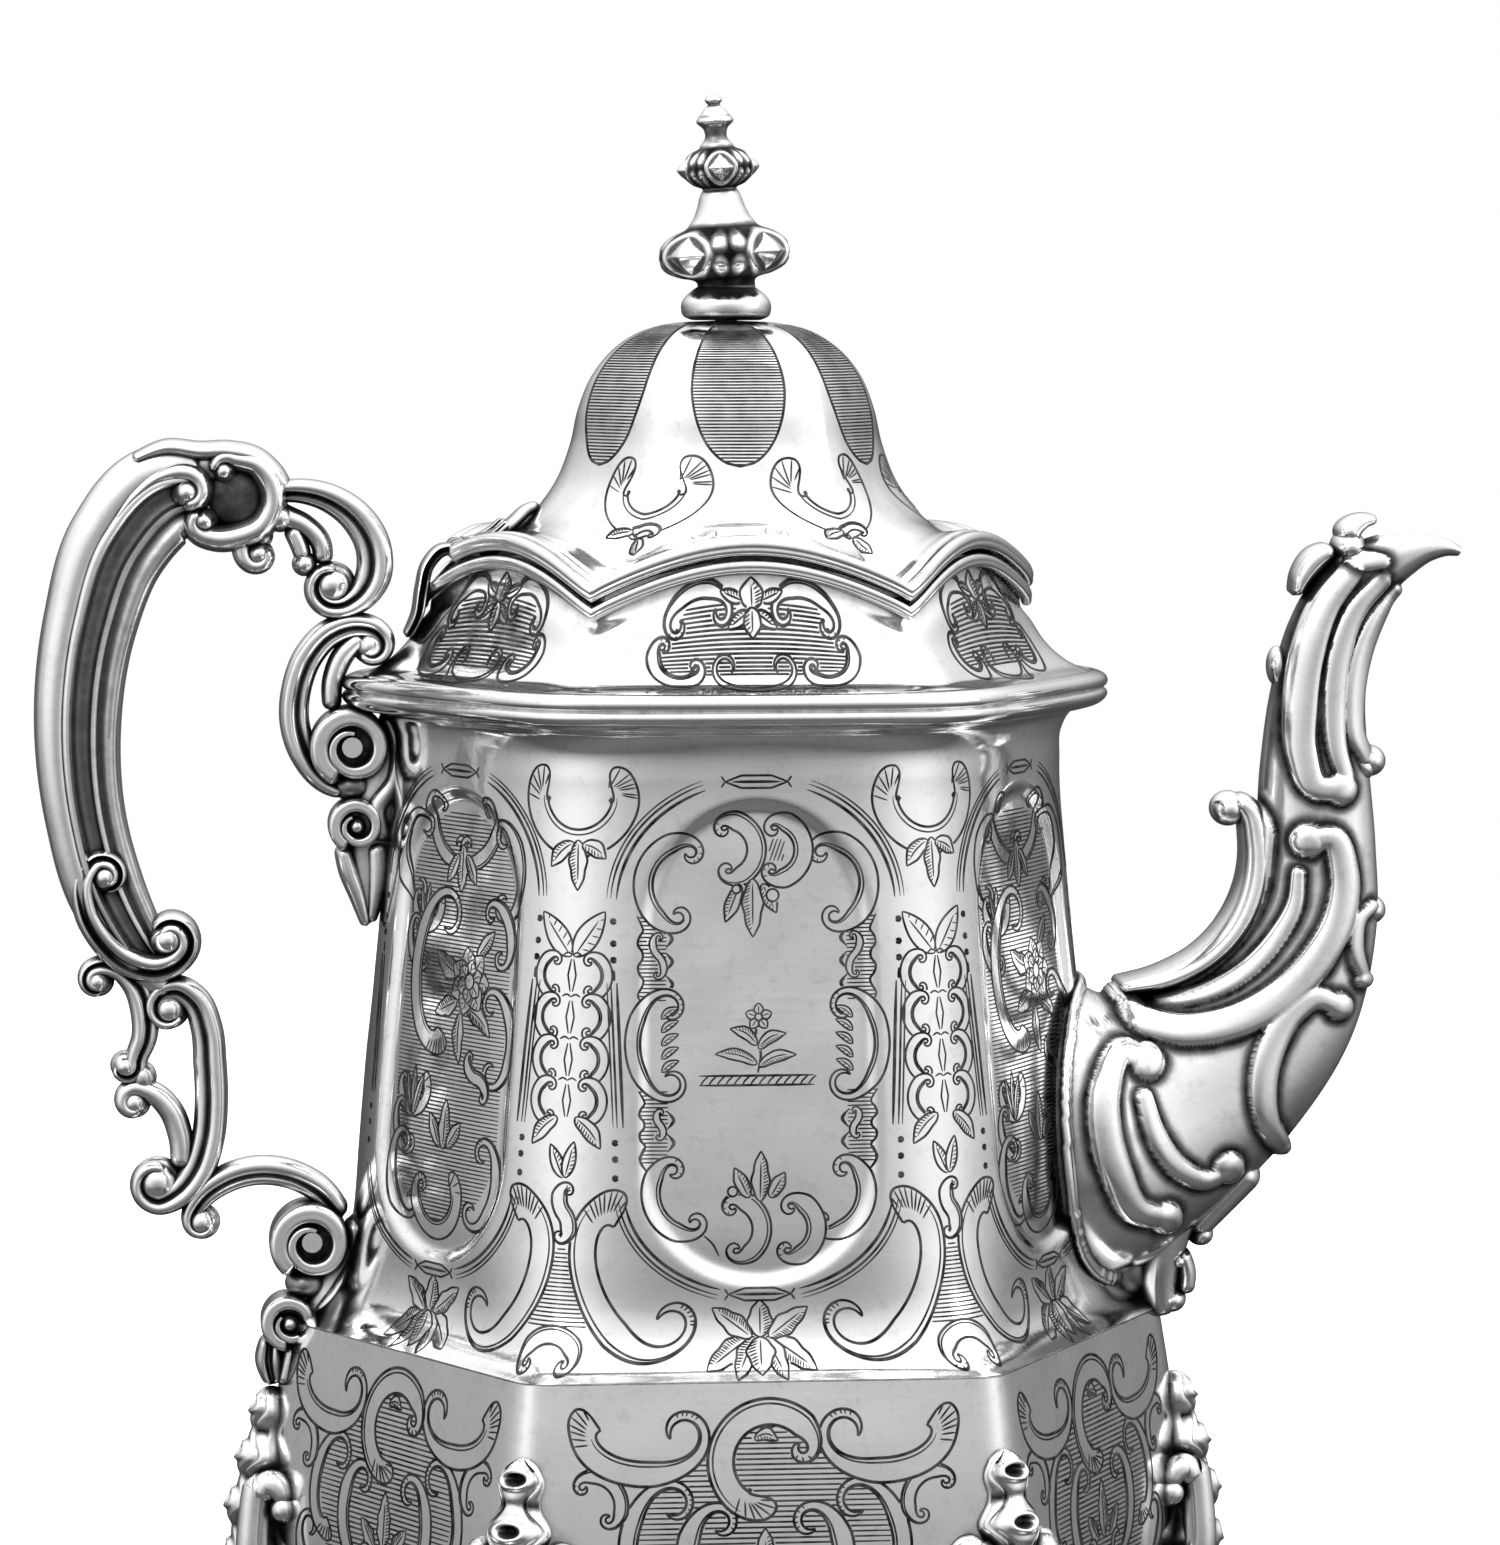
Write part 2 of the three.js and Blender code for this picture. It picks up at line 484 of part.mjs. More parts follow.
for (let k = 0; k < SIDES; k++) {
  place(pot, `leaf_mount_${k + 1}`, leafMount(60 * k), CAST_SILVER);
  place(pot, `scroll_foot_${k + 1}`, scrollFoot(60 * k), CAST_SILVER);
}
place(lid, "lid_dome", lidDome(), SILVER);
place(lid, "lid_rim", lidRim(), SILVER);
place(lid, "lid_flange", lidFlange(), PLAIN_SILVER);
place(lid, "lid_hinge_leaf", lidHinge(), CAST_SILVER);
place(lid, "finial_base", turned(FINIAL_BASE, 20), CAST_SILVER);
place(lid, "finial_stud", finialStud(), PLAIN_SILVER);
place(lid, "finial_nut", finialNut(), PLAIN_SILVER);
const finial = place(lid, "finial", turned(FINIAL, 16), CAST_SILVER);
finial.position.z = FINIAL_Z;
finial.rotation.y = FINIAL_LEAN;

const root = new THREE.Group();
root.add(pot);
export default root;
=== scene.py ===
"""The silver coffee pot's finish: fine sheets, castings, engraving, light and camera round the CAD."""
import math

import bpy
import numpy as np
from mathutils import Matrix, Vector


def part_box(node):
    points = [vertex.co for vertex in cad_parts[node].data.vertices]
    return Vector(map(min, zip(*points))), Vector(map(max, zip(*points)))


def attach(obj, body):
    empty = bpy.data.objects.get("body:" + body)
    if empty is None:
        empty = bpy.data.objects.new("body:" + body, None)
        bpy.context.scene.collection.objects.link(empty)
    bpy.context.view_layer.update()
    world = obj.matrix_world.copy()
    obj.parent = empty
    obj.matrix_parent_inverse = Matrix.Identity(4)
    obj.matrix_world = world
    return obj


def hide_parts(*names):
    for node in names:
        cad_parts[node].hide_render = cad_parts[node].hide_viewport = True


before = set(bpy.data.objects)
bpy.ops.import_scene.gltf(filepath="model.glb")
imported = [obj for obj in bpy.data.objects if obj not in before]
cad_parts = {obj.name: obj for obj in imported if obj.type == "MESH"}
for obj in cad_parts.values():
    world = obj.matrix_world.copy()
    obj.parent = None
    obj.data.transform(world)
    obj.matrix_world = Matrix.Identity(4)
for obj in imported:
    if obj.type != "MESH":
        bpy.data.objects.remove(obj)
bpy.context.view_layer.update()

MM = 0.001
plate_low, plate_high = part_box("base_plate")
AXIS_X = (plate_low.x + plate_high.x) / 2 / MM      # the pot's own axis, in the row frame
FACE, CORNER = 30, 60                               # plan angles in degrees: corners are at 0, 60, ...
SIDES = 6
RIPPLE = 0.035                                      # how far hand-raised sheet wavers, mm
CHART_HALF, CHART_STEPS = 40, 2                     # a chart's reach either side in mm, and steps a mm


# ---- curves and skins ----------------------------------------------------------------------

def smooth(rows, count):
    """A smooth curve through rows of numbers, spaced by the distance between their first two."""
    p = np.asarray(rows, float)
    t = np.r_[0, np.cumsum(np.linalg.norm(np.diff(p[:, :2], axis=0), axis=1))]
    m = np.gradient(p, t, axis=0)
    x = np.linspace(0, t[-1], count)
    i = np.clip(np.searchsorted(t, x, side="right") - 1, 0, len(t) - 2)
    h = (t[i + 1] - t[i])[:, None]
    u = (x - t[i])[:, None] / h
    return ((2 * u**3 - 3 * u**2 + 1) * p[i] + (u**3 - 2 * u**2 + u) * h * m[i]
            + (-2 * u**3 + 3 * u**2) * p[i + 1] + (u**3 - u**2) * h * m[i + 1])


def step(x):
    """0 below 0, 1 above 1, and a soft rise between."""
    x = np.clip(x, 0, 1)
    return x * x * (3 - 2 * x)


def plan(angle, corner, sharp):
    """The rounded hexagon's radius at an angle: corner is its corner radius, sharp its crispness."""
    middles = (2 * np.arange(SIDES) + 1) * math.pi / SIDES
    near = np.maximum(np.cos(angle[..., None] - middles), 0)
    total = (near ** sharp[..., None]).sum(-1)
    return corner * 2 ** (1 / sharp) * math.cos(math.pi / SIDES) / total ** (1 / sharp)


def unit(v):
    return v / np.maximum(np.linalg.norm(v, axis=-1, keepdims=True), 1e-9)


class Skin:
    """A six-sided surface. Rows are corner radius, height, crispness and the scallops' lift."""

    def __init__(self, rows, dent=None):
        self.rows = smooth([list(r) + [0] * (4 - len(r)) for r in rows], 500)
        gap = np.linalg.norm(np.diff(self.rows[:, :2], axis=0), axis=1)
        self.run = np.r_[0, np.cumsum(gap)]          # length up the skin, in mm
        self.dent = dent

    def row(self, t):
        x = np.clip(t, 0, 1) * (len(self.rows) - 1)
        i = np.minimum(x.astype(int), len(self.rows) - 2)
        f = (x - i)[..., None]
        return np.moveaxis(self.rows[i] * (1 - f) + self.rows[i + 1] * f, -1, 0)

    def point(self, angle, t):
        corner, z, sharp, lift = self.row(t)
        r = plan(angle, corner, sharp)
        off = np.degrees(angle) % CORNER / FACE - 1
        return np.stack([r * np.cos(angle), r * np.sin(angle), z + lift * (1 - off**2)], -1)

    def place(self, angle, t, out=0.0):
        """Points on the skin, pushed out along its normal, and the normals."""
        e = 0.002
        p = self.point(angle, t)
        turn = self.point(angle + e, t) - self.point(angle - e, t)
        up = self.point(angle, np.minimum(t + e, 1)) - self.point(angle, np.maximum(t - e, 0))
        n = unit(np.cross(turn, up))
        if self.dent:
            off = np.radians(np.degrees(angle) % CORNER - FACE)
            across = np.hypot(p[..., 0], p[..., 1]) * np.sin(off)
            out = out - self.dent(angle, across, p[..., 2])
        wave = (np.sin(7 * angle + 0.09 * p[..., 2]) * np.sin(0.21 * p[..., 2] + 2 * angle)
                + 0.7 * np.sin(23 * angle - 0.13 * p[..., 2]) * np.sin(0.34 * p[..., 2] + 1.1))
        return p + n * np.asarray(out + RIPPLE * wave)[..., None], n

    def chart(self, middle, key):
        """A map from (u, v) in mm to the skin, where u runs round from the angle `middle` (degrees)."""
        angles = math.radians(middle) + np.radians(np.linspace(-64, 64, 257))
        ts = np.linspace(0, 1, 80)
        a, t = np.meshgrid(angles, ts)
        p = self.point(a, t)
        arc = np.cumsum(np.linalg.norm(np.diff(p[..., :2], axis=1), axis=-1), axis=1)
        arc = np.concatenate([np.zeros((len(ts), 1)), arc], axis=1)
        arc -= arc[:, [len(angles) // 2]]
        us = np.linspace(-CHART_HALF, CHART_HALF, 2 * CHART_HALF * CHART_STEPS + 1)
        table = np.array([np.interp(us, arc[k], angles) for k in range(len(ts))])
        source = self.rows[:, 1] if key == "height" else self.run
        heights = np.interp(ts, np.linspace(0, 1, len(source)), source)

        def locate(u, v, out):
            t = np.interp(v, heights, ts)
            y = np.clip(t * (len(ts) - 1), 0, len(ts) - 1.001)
            x = np.clip((u + CHART_HALF) * CHART_STEPS, 0, len(us) - 1.001)
            i, j = y.astype(int), x.astype(int)
            fy, fx = y - i, x - j
            angle = ((table[i, j] * (1 - fx) + table[i, j + 1] * fx) * (1 - fy)
                     + (table[i + 1, j] * (1 - fx) + table[i + 1, j + 1] * fx) * fy)
            return self.place(angle, t, out)[0]
        return locate


# ---- meshes --------------------------------------------------------------------------------

class Form:
    """Faces gathered in millimetres from the pot's axis, with how dark each point's hollow is."""

    def __init__(self):
        self.points, self.quads, self.tris, self.dark, self.count = [], [], [], [], 0

    def add(self, points, quads=(), tris=(), dark=0.0):
        points = np.asarray(points, float).reshape(-1, 3)
        quads = np.asarray(quads, int).reshape(-1, 4)
        tris = np.asarray(tris, int).reshape(-1, 3)
        fans = np.concatenate([quads[:, :3], quads[:, [0, 2, 3]], tris])
        if len(fans):
            a, b, c = (points[fans[:, k]] - points.mean(0) for k in range(3))
            if (a * np.cross(b, c)).sum() < 0:
                quads, tris = quads[:, ::-1], tris[:, ::-1]
        self.points.append(points)
        self.quads.append(quads + self.count)
        self.tris.append(tris + self.count)
        self.dark.append(np.broadcast_to(np.asarray(dark, float).reshape(-1), (len(points),)))
        self.count += len(points)

    def rings(self, rings, closed=False, dark=0.0):
        """A skin through rings of points. closed joins the last ring to the first."""
        m, n = rings.shape[:2]
        i = np.arange(m if closed else m - 1)[:, None]
        j = np.arange(n)[None, :]
        a, b = i * n + j, i * n + (j + 1) % n
        c, d = (i + 1) % m * n + (j + 1) % n, (i + 1) % m * n + j
        quads = np.stack([a, b, c, d], -1).reshape(-1, 4)
        points = rings.reshape(-1, 3)
        dark = np.broadcast_to(dark, (m, n)).reshape(-1)
        tris = []
        if not closed:
            ends = np.array([rings[0].mean(0), rings[-1].mean(0)])
            points = np.concatenate([points, ends])
            dark = np.concatenate([dark, [dark[0], dark[-1]]])
            k = np.arange(n)
            tris = np.concatenate([
                np.stack([np.full(n, m * n), (k + 1) % n, k], -1),
                np.stack([np.full(n, m * n + 1), (m - 1) * n + k, (m - 1) * n + (k + 1) % n], -1)])
        self.add(points, quads, tris, dark)

    def knob(self, centre, radii, dark=0.0, count=20):
        """A rounded button, with its centre and three half sizes."""
        a, b = np.meshgrid(np.linspace(0, 2 * math.pi, 2 * count, endpoint=False),
                           np.linspace(-math.pi / 2, math.pi / 2, count)[1:-1])
        shape = np.stack([np.cos(b) * np.cos(a), np.cos(b) * np.sin(a), np.sin(b)], -1)
        self.rings(np.asarray(centre) + shape * np.asarray(radii), dark=dark)

    def turned(self, angle):
        """The same form, turned about the pot's axis by an angle in degrees."""
        c, s = math.cos(math.radians(angle)), math.sin(math.radians(angle))
        other = Form()
        other.points = [p @ np.array([[c, s, 0], [-s, c, 0], [0, 0, 1]]) for p in self.points]
        other.quads, other.tris, other.dark = self.quads, self.tris, self.dark
        other.count = self.count
        return other


def piece(name, form, body, material, nodes=(), crease=40):
    """One Blender object made from a form, riding on a CAD body."""
    points = (np.concatenate(form.points) + [AXIS_X, 0, 0]) * MM
    quads, tris = np.concatenate(form.quads), np.concatenate(form.tris)
    corners = np.concatenate([quads.ravel(), tris.ravel()])
    starts = np.concatenate([np.arange(len(quads)) * 4, len(quads) * 4 + np.arange(len(tris)) * 3])
    mesh = bpy.data.meshes.new(name)
    mesh.vertices.add(len(points))
    mesh.vertices.foreach_set("co", points.ravel())
    mesh.loops.add(len(corners))
    mesh.loops.foreach_set("vertex_index", corners.astype(np.int32))
    mesh.polygons.add(len(starts))
    mesh.polygons.foreach_set("loop_start", starts.astype(np.int32))
    mesh.update(calc_edges=True)
    mesh.validate()
    mesh.shade_smooth()
    if crease:
        mesh.set_sharp_from_angle(angle=math.radians(crease))
    # Each point's hollow darkness, which the silver shows as tarnishing and painted shade.
    worn = mesh.attributes.new("hollow", "FLOAT", "POINT")
    worn.data.foreach_set("value", np.concatenate(form.dark).astype(np.float32))
    obj = bpy.data.objects.new(name, mesh)
    bpy.context.collection.objects.link(obj)
    mesh.materials.append(material)
    if nodes:
        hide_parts(*nodes)
    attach(obj, body)
    return obj


# ---- materials -------------------------------------------------------------------------------

class Graph:
    """The node tree of a material or world, with short ways to add and link nodes."""

    def __init__(self, holder):
        holder.use_nodes = True
        self.nodes, self.links = holder.node_tree.nodes, holder.node_tree.links

    def feed(self, node, inputs):
        """Sets each input, or links it where it is given another node's output."""
        for key, value in inputs.items():
            if isinstance(value, bpy.types.NodeSocket):
                self.links.new(value, node.inputs[key])
            else:
                node.inputs[key].default_value = value

    def add(self, kind, inputs=None, out=0, **settings):
        node = self.nodes.new("ShaderNode" + kind)
        for key, value in settings.items():
            setattr(node, key, value)
        self.feed(node, inputs or {})
        return node.outputs[out]

    def math(self, operation, *values, clamp=False):
        return self.add("Math", dict(enumerate(values)), operation=operation, use_clamp=clamp)

    def ramp(self, source, stops, blend="LINEAR"):
        """A colour ramp. Each stop is its position, and a grey or a colour."""
        node = self.nodes.new("ShaderNodeValToRGB")
        node.color_ramp.interpolation = blend
        elements = node.color_ramp.elements
        elements[0].position, elements[1].position = stops[0][0], stops[-1][0]
        for position, _ in stops[1:-1]:
            elements.new(position)
        for element, (position, colour) in zip(elements, stops):
            element.position = position
            element.color = (*colour, 1) if isinstance(colour, tuple) else (colour, colour, colour, 1)
        self.feed(node, {"Fac": source})
        return node.outputs["Color"]


def silver(name, rough, grain, patina_and_painted_shade, reach):
    """Old polished silver: soft wear in the gloss, fine pits, and dark tarnishing in hollows, with painted
    shade where ambient occlusion darkens corners, creases and undersides.
    """
    material = bpy.data.materials.new(name)
    graph = Graph(material)
    place = graph.add("TexCoord", out="Object")
    cloud = graph.add("TexNoise", {"Vector": place, "Scale": 55.0, "Detail": 6.0, "Roughness": 0.62})
    speck = graph.add("TexNoise", {"Vector": place, "Scale": grain, "Detail": 4.0, "Roughness": 0.7})
    drawn = graph.add("Mapping", {"Vector": place, "Rotation": (0.4, 0.9, 0.7), "Scale": (0.08, 1.0, 0.9)})
    scratch = graph.add("TexNoise", {"Vector": drawn, "Scale": 900.0, "Detail": 2.0})
    wear = graph.add("MapRange", {"Value": cloud, "To Min": rough * 0.55, "To Max": rough * 1.6})
    # Painted shade: ambient occlusion darkens the colour in corners, creases and under overhangs, along with
    # the tarnishing of the hollows.
    open_ = graph.add("AmbientOcclusion", {"Distance": reach}, out="AO", samples=8)
    closed = graph.add("MapRange", {"Value": open_, "From Min": 0.86, "From Max": 0.34, "To Max": patina_and_painted_shade})
    # The hollow attribute adds each point's given darkness, for tarnishing and painted shade alike.
    tarnish_and_painted_shade = graph.math("MAXIMUM", closed, graph.add("Attribute", out="Fac", attribute_name="hollow"))
    spots = graph.math("MULTIPLY_ADD", speck, 0.5, -0.27)
    # The middle grey, worn, is reached where tarnishing and painted shade are half dark; black where they
    # are full.
    bright, worn, black = (0.93, 0.93, 0.93 * 0.995), (0.30, 0.30, 0.305), (0.012, 0.012, 0.013)
    pits_tarnish_and_painted_shade = graph.math("ADD", tarnish_and_painted_shade, spots, clamp=True)
    colour = graph.ramp(pits_tarnish_and_painted_shade, [(0, bright), (0.45, worn), (1, black)])
    relief = graph.math("ADD", scratch, speck)
    graph.feed(graph.nodes["Principled BSDF"], {
        "Metallic": 1.0, "Base Color": colour, "Roughness": graph.math("MULTIPLY_ADD", tarnish_and_painted_shade, 0.42, wear),
        "Normal": graph.add("Bump", {"Height": relief, "Strength": 0.10, "Distance": 0.00012})})
    return material


SHEET = silver("polished sheet silver", 0.10, 420.0, 0.35, 0.003)
CAST = silver("cast silver", 0.15, 300.0, 1.0, 0.0035)
PLAIN = silver("plain silver", 0.22, 500.0, 0.7, 0.003)


# ---- raised sheet: body, collar, brim and lid ------------------------------------------------

ROUND = 480                       # steps round a hexagonal skin
WALL = 1.0                        # sheet thickness, mm
PANEL = {"z": 157.0, "half": 39.0, "radius": 19.6, "depth": 1.3, "slope": 2.8}


def panel_dent(angle, u, z):
    """How deep the long oval panels are pressed into the six faces of the upper body."""
    half = np.interp(z, [120, 160, 190], [20.0, 19.6, 18.2])
    across = u * PANEL["radius"] / half
    beyond = np.maximum(np.abs(z - PANEL["z"]) - (PANEL["half"] - PANEL["radius"]), 0)
    inside = PANEL["radius"] - np.hypot(across, beyond)
    return PANEL["depth"] * step(inside / PANEL["slope"])


upper = Skin([[73.7, 104.5, 60], [70.6, 106, 40], [67.2, 109, 24], [64.2, 114.5, 14], [62.6, 123, 9],
    [61.8, 133, 8], [60.4, 149, 8], [58.4, 168, 8], [56.8, 185, 8], [56, 198, 8], [56.3, 203.2, 8],
    [57.8, 205.8, 9], [61.2, 207.3, 10]], panel_dent)
lower = Skin([[44, 27.5, 12], [51, 30.6, 12], [61.5, 37.2, 14], [70, 46, 18], [75, 56, 24], [77.2, 68, 30],
    [77, 80, 40], [75.5, 93, 50], [73.7, 104.2, 60]])
collar = Skin([[61.4, 212.4, 12], [60.2, 212.9, 16], [58.6, 213.5, 26], [55.8, 215.3, 30, 1],
    [53.4, 217.6, 34, 2.9], [51.4, 220.4, 36, 5], [49.6, 222.6, 36, 6.6], [49.3, 224.4, 36, 7.5]])
dome = Skin([[49.1, 227.2, 26, 7.5], [49.1, 229.2, 26, 7.5], [46, 230, 22, 6.7], [42, 231.3, 16, 5.3],
    [38, 233.6, 12, 3.8], [34, 237, 10, 2], [31, 240.6, 9, .8], [28.5, 244.4, 8], [26.1, 250.5, 8],
    [24.7, 256.5, 8], [22.4, 262, 8], [19.2, 266, 7], [15, 268.9, 7], [9.4, 270.5, 6], [2.4, 271, 6]])


def sheet(skin, rows, wall=WALL, inner_rows=24, trim=None):
    """A skin with a real thickness, closed at both rims."""
    angle, t = np.meshgrid(np.linspace(0, 2 * math.pi, ROUND, endpoint=False),
                           np.linspace(0, 1, rows))
    outer = skin.place(angle, t)[0]
    angle, t = np.meshgrid(angle[0], np.linspace(1, 0, inner_rows))
    inner = skin.place(angle, t, -wall)[0]
    if trim:
        outer, inner = trim(outer, 0), trim(inner, wall)
    form = Form()
    form.rings(np.concatenate([outer, inner]), closed=True)
    return form


def ring(section, gap=0.0):
    """A moulding round the pot, left open for `gap` degrees either side of the hinge.

    Its section is rows of corner radius, height, crispness and lift."""
    start, stop = (gap - 180, 180 - gap) if gap else (0, 360)
    angle = np.radians(np.linspace(start, stop, ROUND, endpoint=bool(gap)))
    rows = np.array([list(r) + [0] * (4 - len(r)) for r in section], float)
    a, k = np.meshgrid(angle, np.arange(len(rows)), indexing="ij")
    corner, z, sharp, lift = (rows[k, n] for n in range(4))
    r = plan(a, corner, sharp)
    off = np.degrees(a) % CORNER / FACE - 1
    points = np.stack([r * np.cos(a), r * np.sin(a), z + lift * (1 - off**2)], -1)
    form = Form()
    form.rings(points, closed=not gap)
    return form


SCALLOP = 7.5                     # how far the mouth's scallops rise, mm


def bead(radius, z, half, tall, sharp, groove=0.22):
    """A rounded, scalloped moulding's section with a shallow groove round its outer side."""
    a = np.linspace(0, 2 * math.pi, 40, endpoint=False)
    c, s = np.cos(a), np.sin(a)
    r = radius + half * np.sign(c) * np.abs(c) ** 0.8 - groove * np.exp(-((s + 0.1) / 0.16) ** 2) * (c > 0)
    return [[x, z + tall * y, sharp, SCALLOP] for x, y in zip(r, s)]


HINGE_X, HINGE_Z, HINGE_HALF = -44.6, 233.0, 10.5
HINGE_ROOM, SKIRT_TOP = 2.35, 237  # how far the lid's skirt keeps from the hinge line, and up to where


def hinge_trim(points, wall):
    """The lid's skirt is cut back square where the hinge barrel lies."""
    near = (np.abs(points[..., 1]) < HINGE_HALF + 0.5 - 0.4 * wall) & (points[..., 2] < SKIRT_TOP)
    limit = HINGE_X + HINGE_ROOM + wall * 0.6
    points[..., 0] = np.where(near, np.maximum(points[..., 0], limit), points[..., 0])
    return points


BRIM = smooth([[60.6, 206.6], [62.6, 207.2], [63.7, 208], [64.15, 208.9], [63.9, 209.5], [63.45, 209.9],
               [63.9, 210.3], [64.2, 211], [63.9, 211.8], [62.8, 212.5], [61.2, 212.7], [60.9, 211.4],
               [60.8, 209], [60.6, 206.6]], 60)[:-1]
RIM_GAP = math.degrees(math.atan2(11.2, 44.3))      # half the lid rim's opening at the hinge
for name, form, body, node in (
        ("fine_upper_body", sheet(upper, 210), "pot", "upper_body"),
        ("fine_lower_body", sheet(lower, 120), "pot", "lower_body"),
        ("fine_collar", sheet(collar, 110, 0.9), "pot", "collar"),
        ("fine_brim", ring([[r, z, 10] for r, z in BRIM]), "pot", "brim_moulding"),
        ("fine_collar_rim", ring(bead(50.55, 224.5, 0.95, 1.15, 30, 0.15)), "pot", "collar_rim"),
        ("fine_lid_dome", sheet(dome, 180, trim=hinge_trim), "lid", "lid_dome"),
        ("fine_lid_rim", ring(bead(50.6, 227.8, 1.15, 1.45, 28), RIM_GAP), "lid", "lid_rim")):
    piece(name, form, body, SHEET, [node])


# ---- castings --------------------------------------------------------------------------------

def even(*half):
    """A section that is the same on both sides of its middle, from the rows of one half."""
    return [*half, *((1 - across, high) for across, high in half[-2::-1])]


# Sections from one edge to the other: how far across (0 to 1), and the relief there.
MOULDED = even((0, 0), (.03, .46), (.09, .72), (.16, .78), (.22, .66), (.28, .74), (.38, .94), (.5, 1))
PLAIN_BAND = even((0, 0), (.04, .45), (.14, .76), (.3, .94), (.5, 1))
ROUND_BAND = even((0, 0), (.02, .32), (.08, .60), (.2, .84), (.35, .96), (.5, 1))
FLAT_BAND = even((0, 0), (.01, .6), (.05, .88), (.14, .96), (.5, 1))
GROOVED = [(0, 0), (.04, .5), (.12, .85), (.25, 1), (.36, .9), (.44, .6), (.5, .5), (.56, .6), (.64, .9),
    (.75, 1), (.88, .85), (.96, .5), (1, 0)]
ROLLED = [(0, 0), (.02, .40), (.07, .68), (.15, .86), (.24, .95), (.30, .96), (.325, .90), (.35, .98),
    (.39, 1.02), (.425, .92), (.45, .68), (.49, .52), (.55, .46), (.61, .50), (.645, .64), (.67, .72),
    (.70, .70), (.725, .56), (.76, .50), (.80, .58), (.87, .66), (.93, .58), (.98, .34), (1, 0)]
ROLL = [(0, 0), (.03, .46), (.10, .78), (.22, .98), (.36, 1), (.48, .90), (.56, .70), (.60, .62),
    (.65, .70), (.73, .84), (.82, .82), (.91, .66), (.97, .40), (1, 0)]


def cast(name, form, *nodes, body="pot", crease=40):
    """A casting that stands for CAD nodes."""
    return piece(name, form, body, CAST, nodes, crease)


def section_of(profile, count):
    """The profile sampled evenly along its own length: across from -1 to 1, relief, and hollow."""
    fine = smooth(profile, count)
    across, high = fine[:, 0] * 2 - 1, np.clip(fine[:, 1], 0, 1.02)
    inside = step((0.86 - np.abs(across)) / 0.12)
    return across, high, inside * np.clip((0.76 - high) * 2.6, 0, 0.8)


def sweep(form, rows, profile=ROUND_BAND, ends=(1, 1), count=None, y=0.0, length=30):
    """A moulded band along a path of [x, z, half width, half thickness] in the pot's long plane."""
    total = np.linalg.norm(np.diff(np.array(rows)[:, :2], axis=0), axis=1).sum()
    count = count or int(np.clip(total / 0.45, 24, 320))
    path = smooth(rows, count)
    across, high, hollow = section_of(profile, length)
    centre = path[:, :2]
    along = unit(np.gradient(centre, axis=0))
    side = np.stack([-along[:, 1], along[:, 0]], -1)
    run = np.r_[0, np.cumsum(np.linalg.norm(np.diff(centre, axis=0), axis=1))]
    taper = np.ones(count)
    for keep, distance, k in ((ends[0], run, 0), (ends[1], run[-1] - run, -1)):
        if keep:
            reach = np.minimum(distance / (path[k, 2] * keep), 1)
            taper *= np.sqrt(np.clip(1 - (1 - reach) ** 2, 0.0004, 1))
    w, b = path[:, 2] * taper, path[:, 3] * taper
    x = np.concatenate([across, across[-2:0:-1]])
    h = np.concatenate([high, -high[-2:0:-1]])
    dark = np.concatenate([hollow, hollow[-2:0:-1]])
    c = centre[:, None, :] + side[:, None, :] * (w[:, None] * x[None, :])[..., None]
    form.rings(np.stack([c[..., 0], y + b[:, None] * h, c[..., 1]], -1), dark=dark)


def wound(rows, centre, turn, tighten=0.5):
    """The path's rows, carried on round a centre as a tightening curl."""
    (x0, z0), (x1, z1, half, thick) = rows[-2][:2], rows[-1]
    cx, cz = centre
    r0, a0 = math.hypot(x1 - cx, z1 - cz), math.atan2(z1 - cz, x1 - cx)
    way = 1 if (x1 - x0) * (cz - z1) - (z1 - z0) * (cx - x1) > 0 else -1
    more = []
    for k in range(1, 9):
        f = k / 8
        a, r = a0 + way * math.radians(turn) * f, r0 * (1 - (1 - tighten) * f)
        more.append([cx + r * math.cos(a), cz + r * math.sin(a), half * (1 - 0.30 * f),
                     thick * (1 + 0.05 * f)])
    return rows + more


def scroll_bar(form, rows, start=None, end=None, profile=ROLL, flip=False, turn=215):
    """A cast band whose ends may curl round an eye. start and end are (x, z, eye radius)."""
    if end:
        rows = wound(rows, end[:2], turn)
    if start:
        rows = wound(rows[::-1], start[:2], turn)[::-1]
    if flip:
        profile = [(1 - a, h) for a, h in profile[::-1]]
    sweep(form, rows, profile, length=34)
    for eye, row in ((start, rows[0]), (end, rows[-1])):
        if eye:
            x, z, r = eye
            form.knob((x, 0, z), (r * 1.42, row[3] * 1.08, r * 1.42), count=28)
            form.knob((x, 0, z), (r * 1.7, row[3] * 0.72, r * 1.7), dark=0.3, count=24)


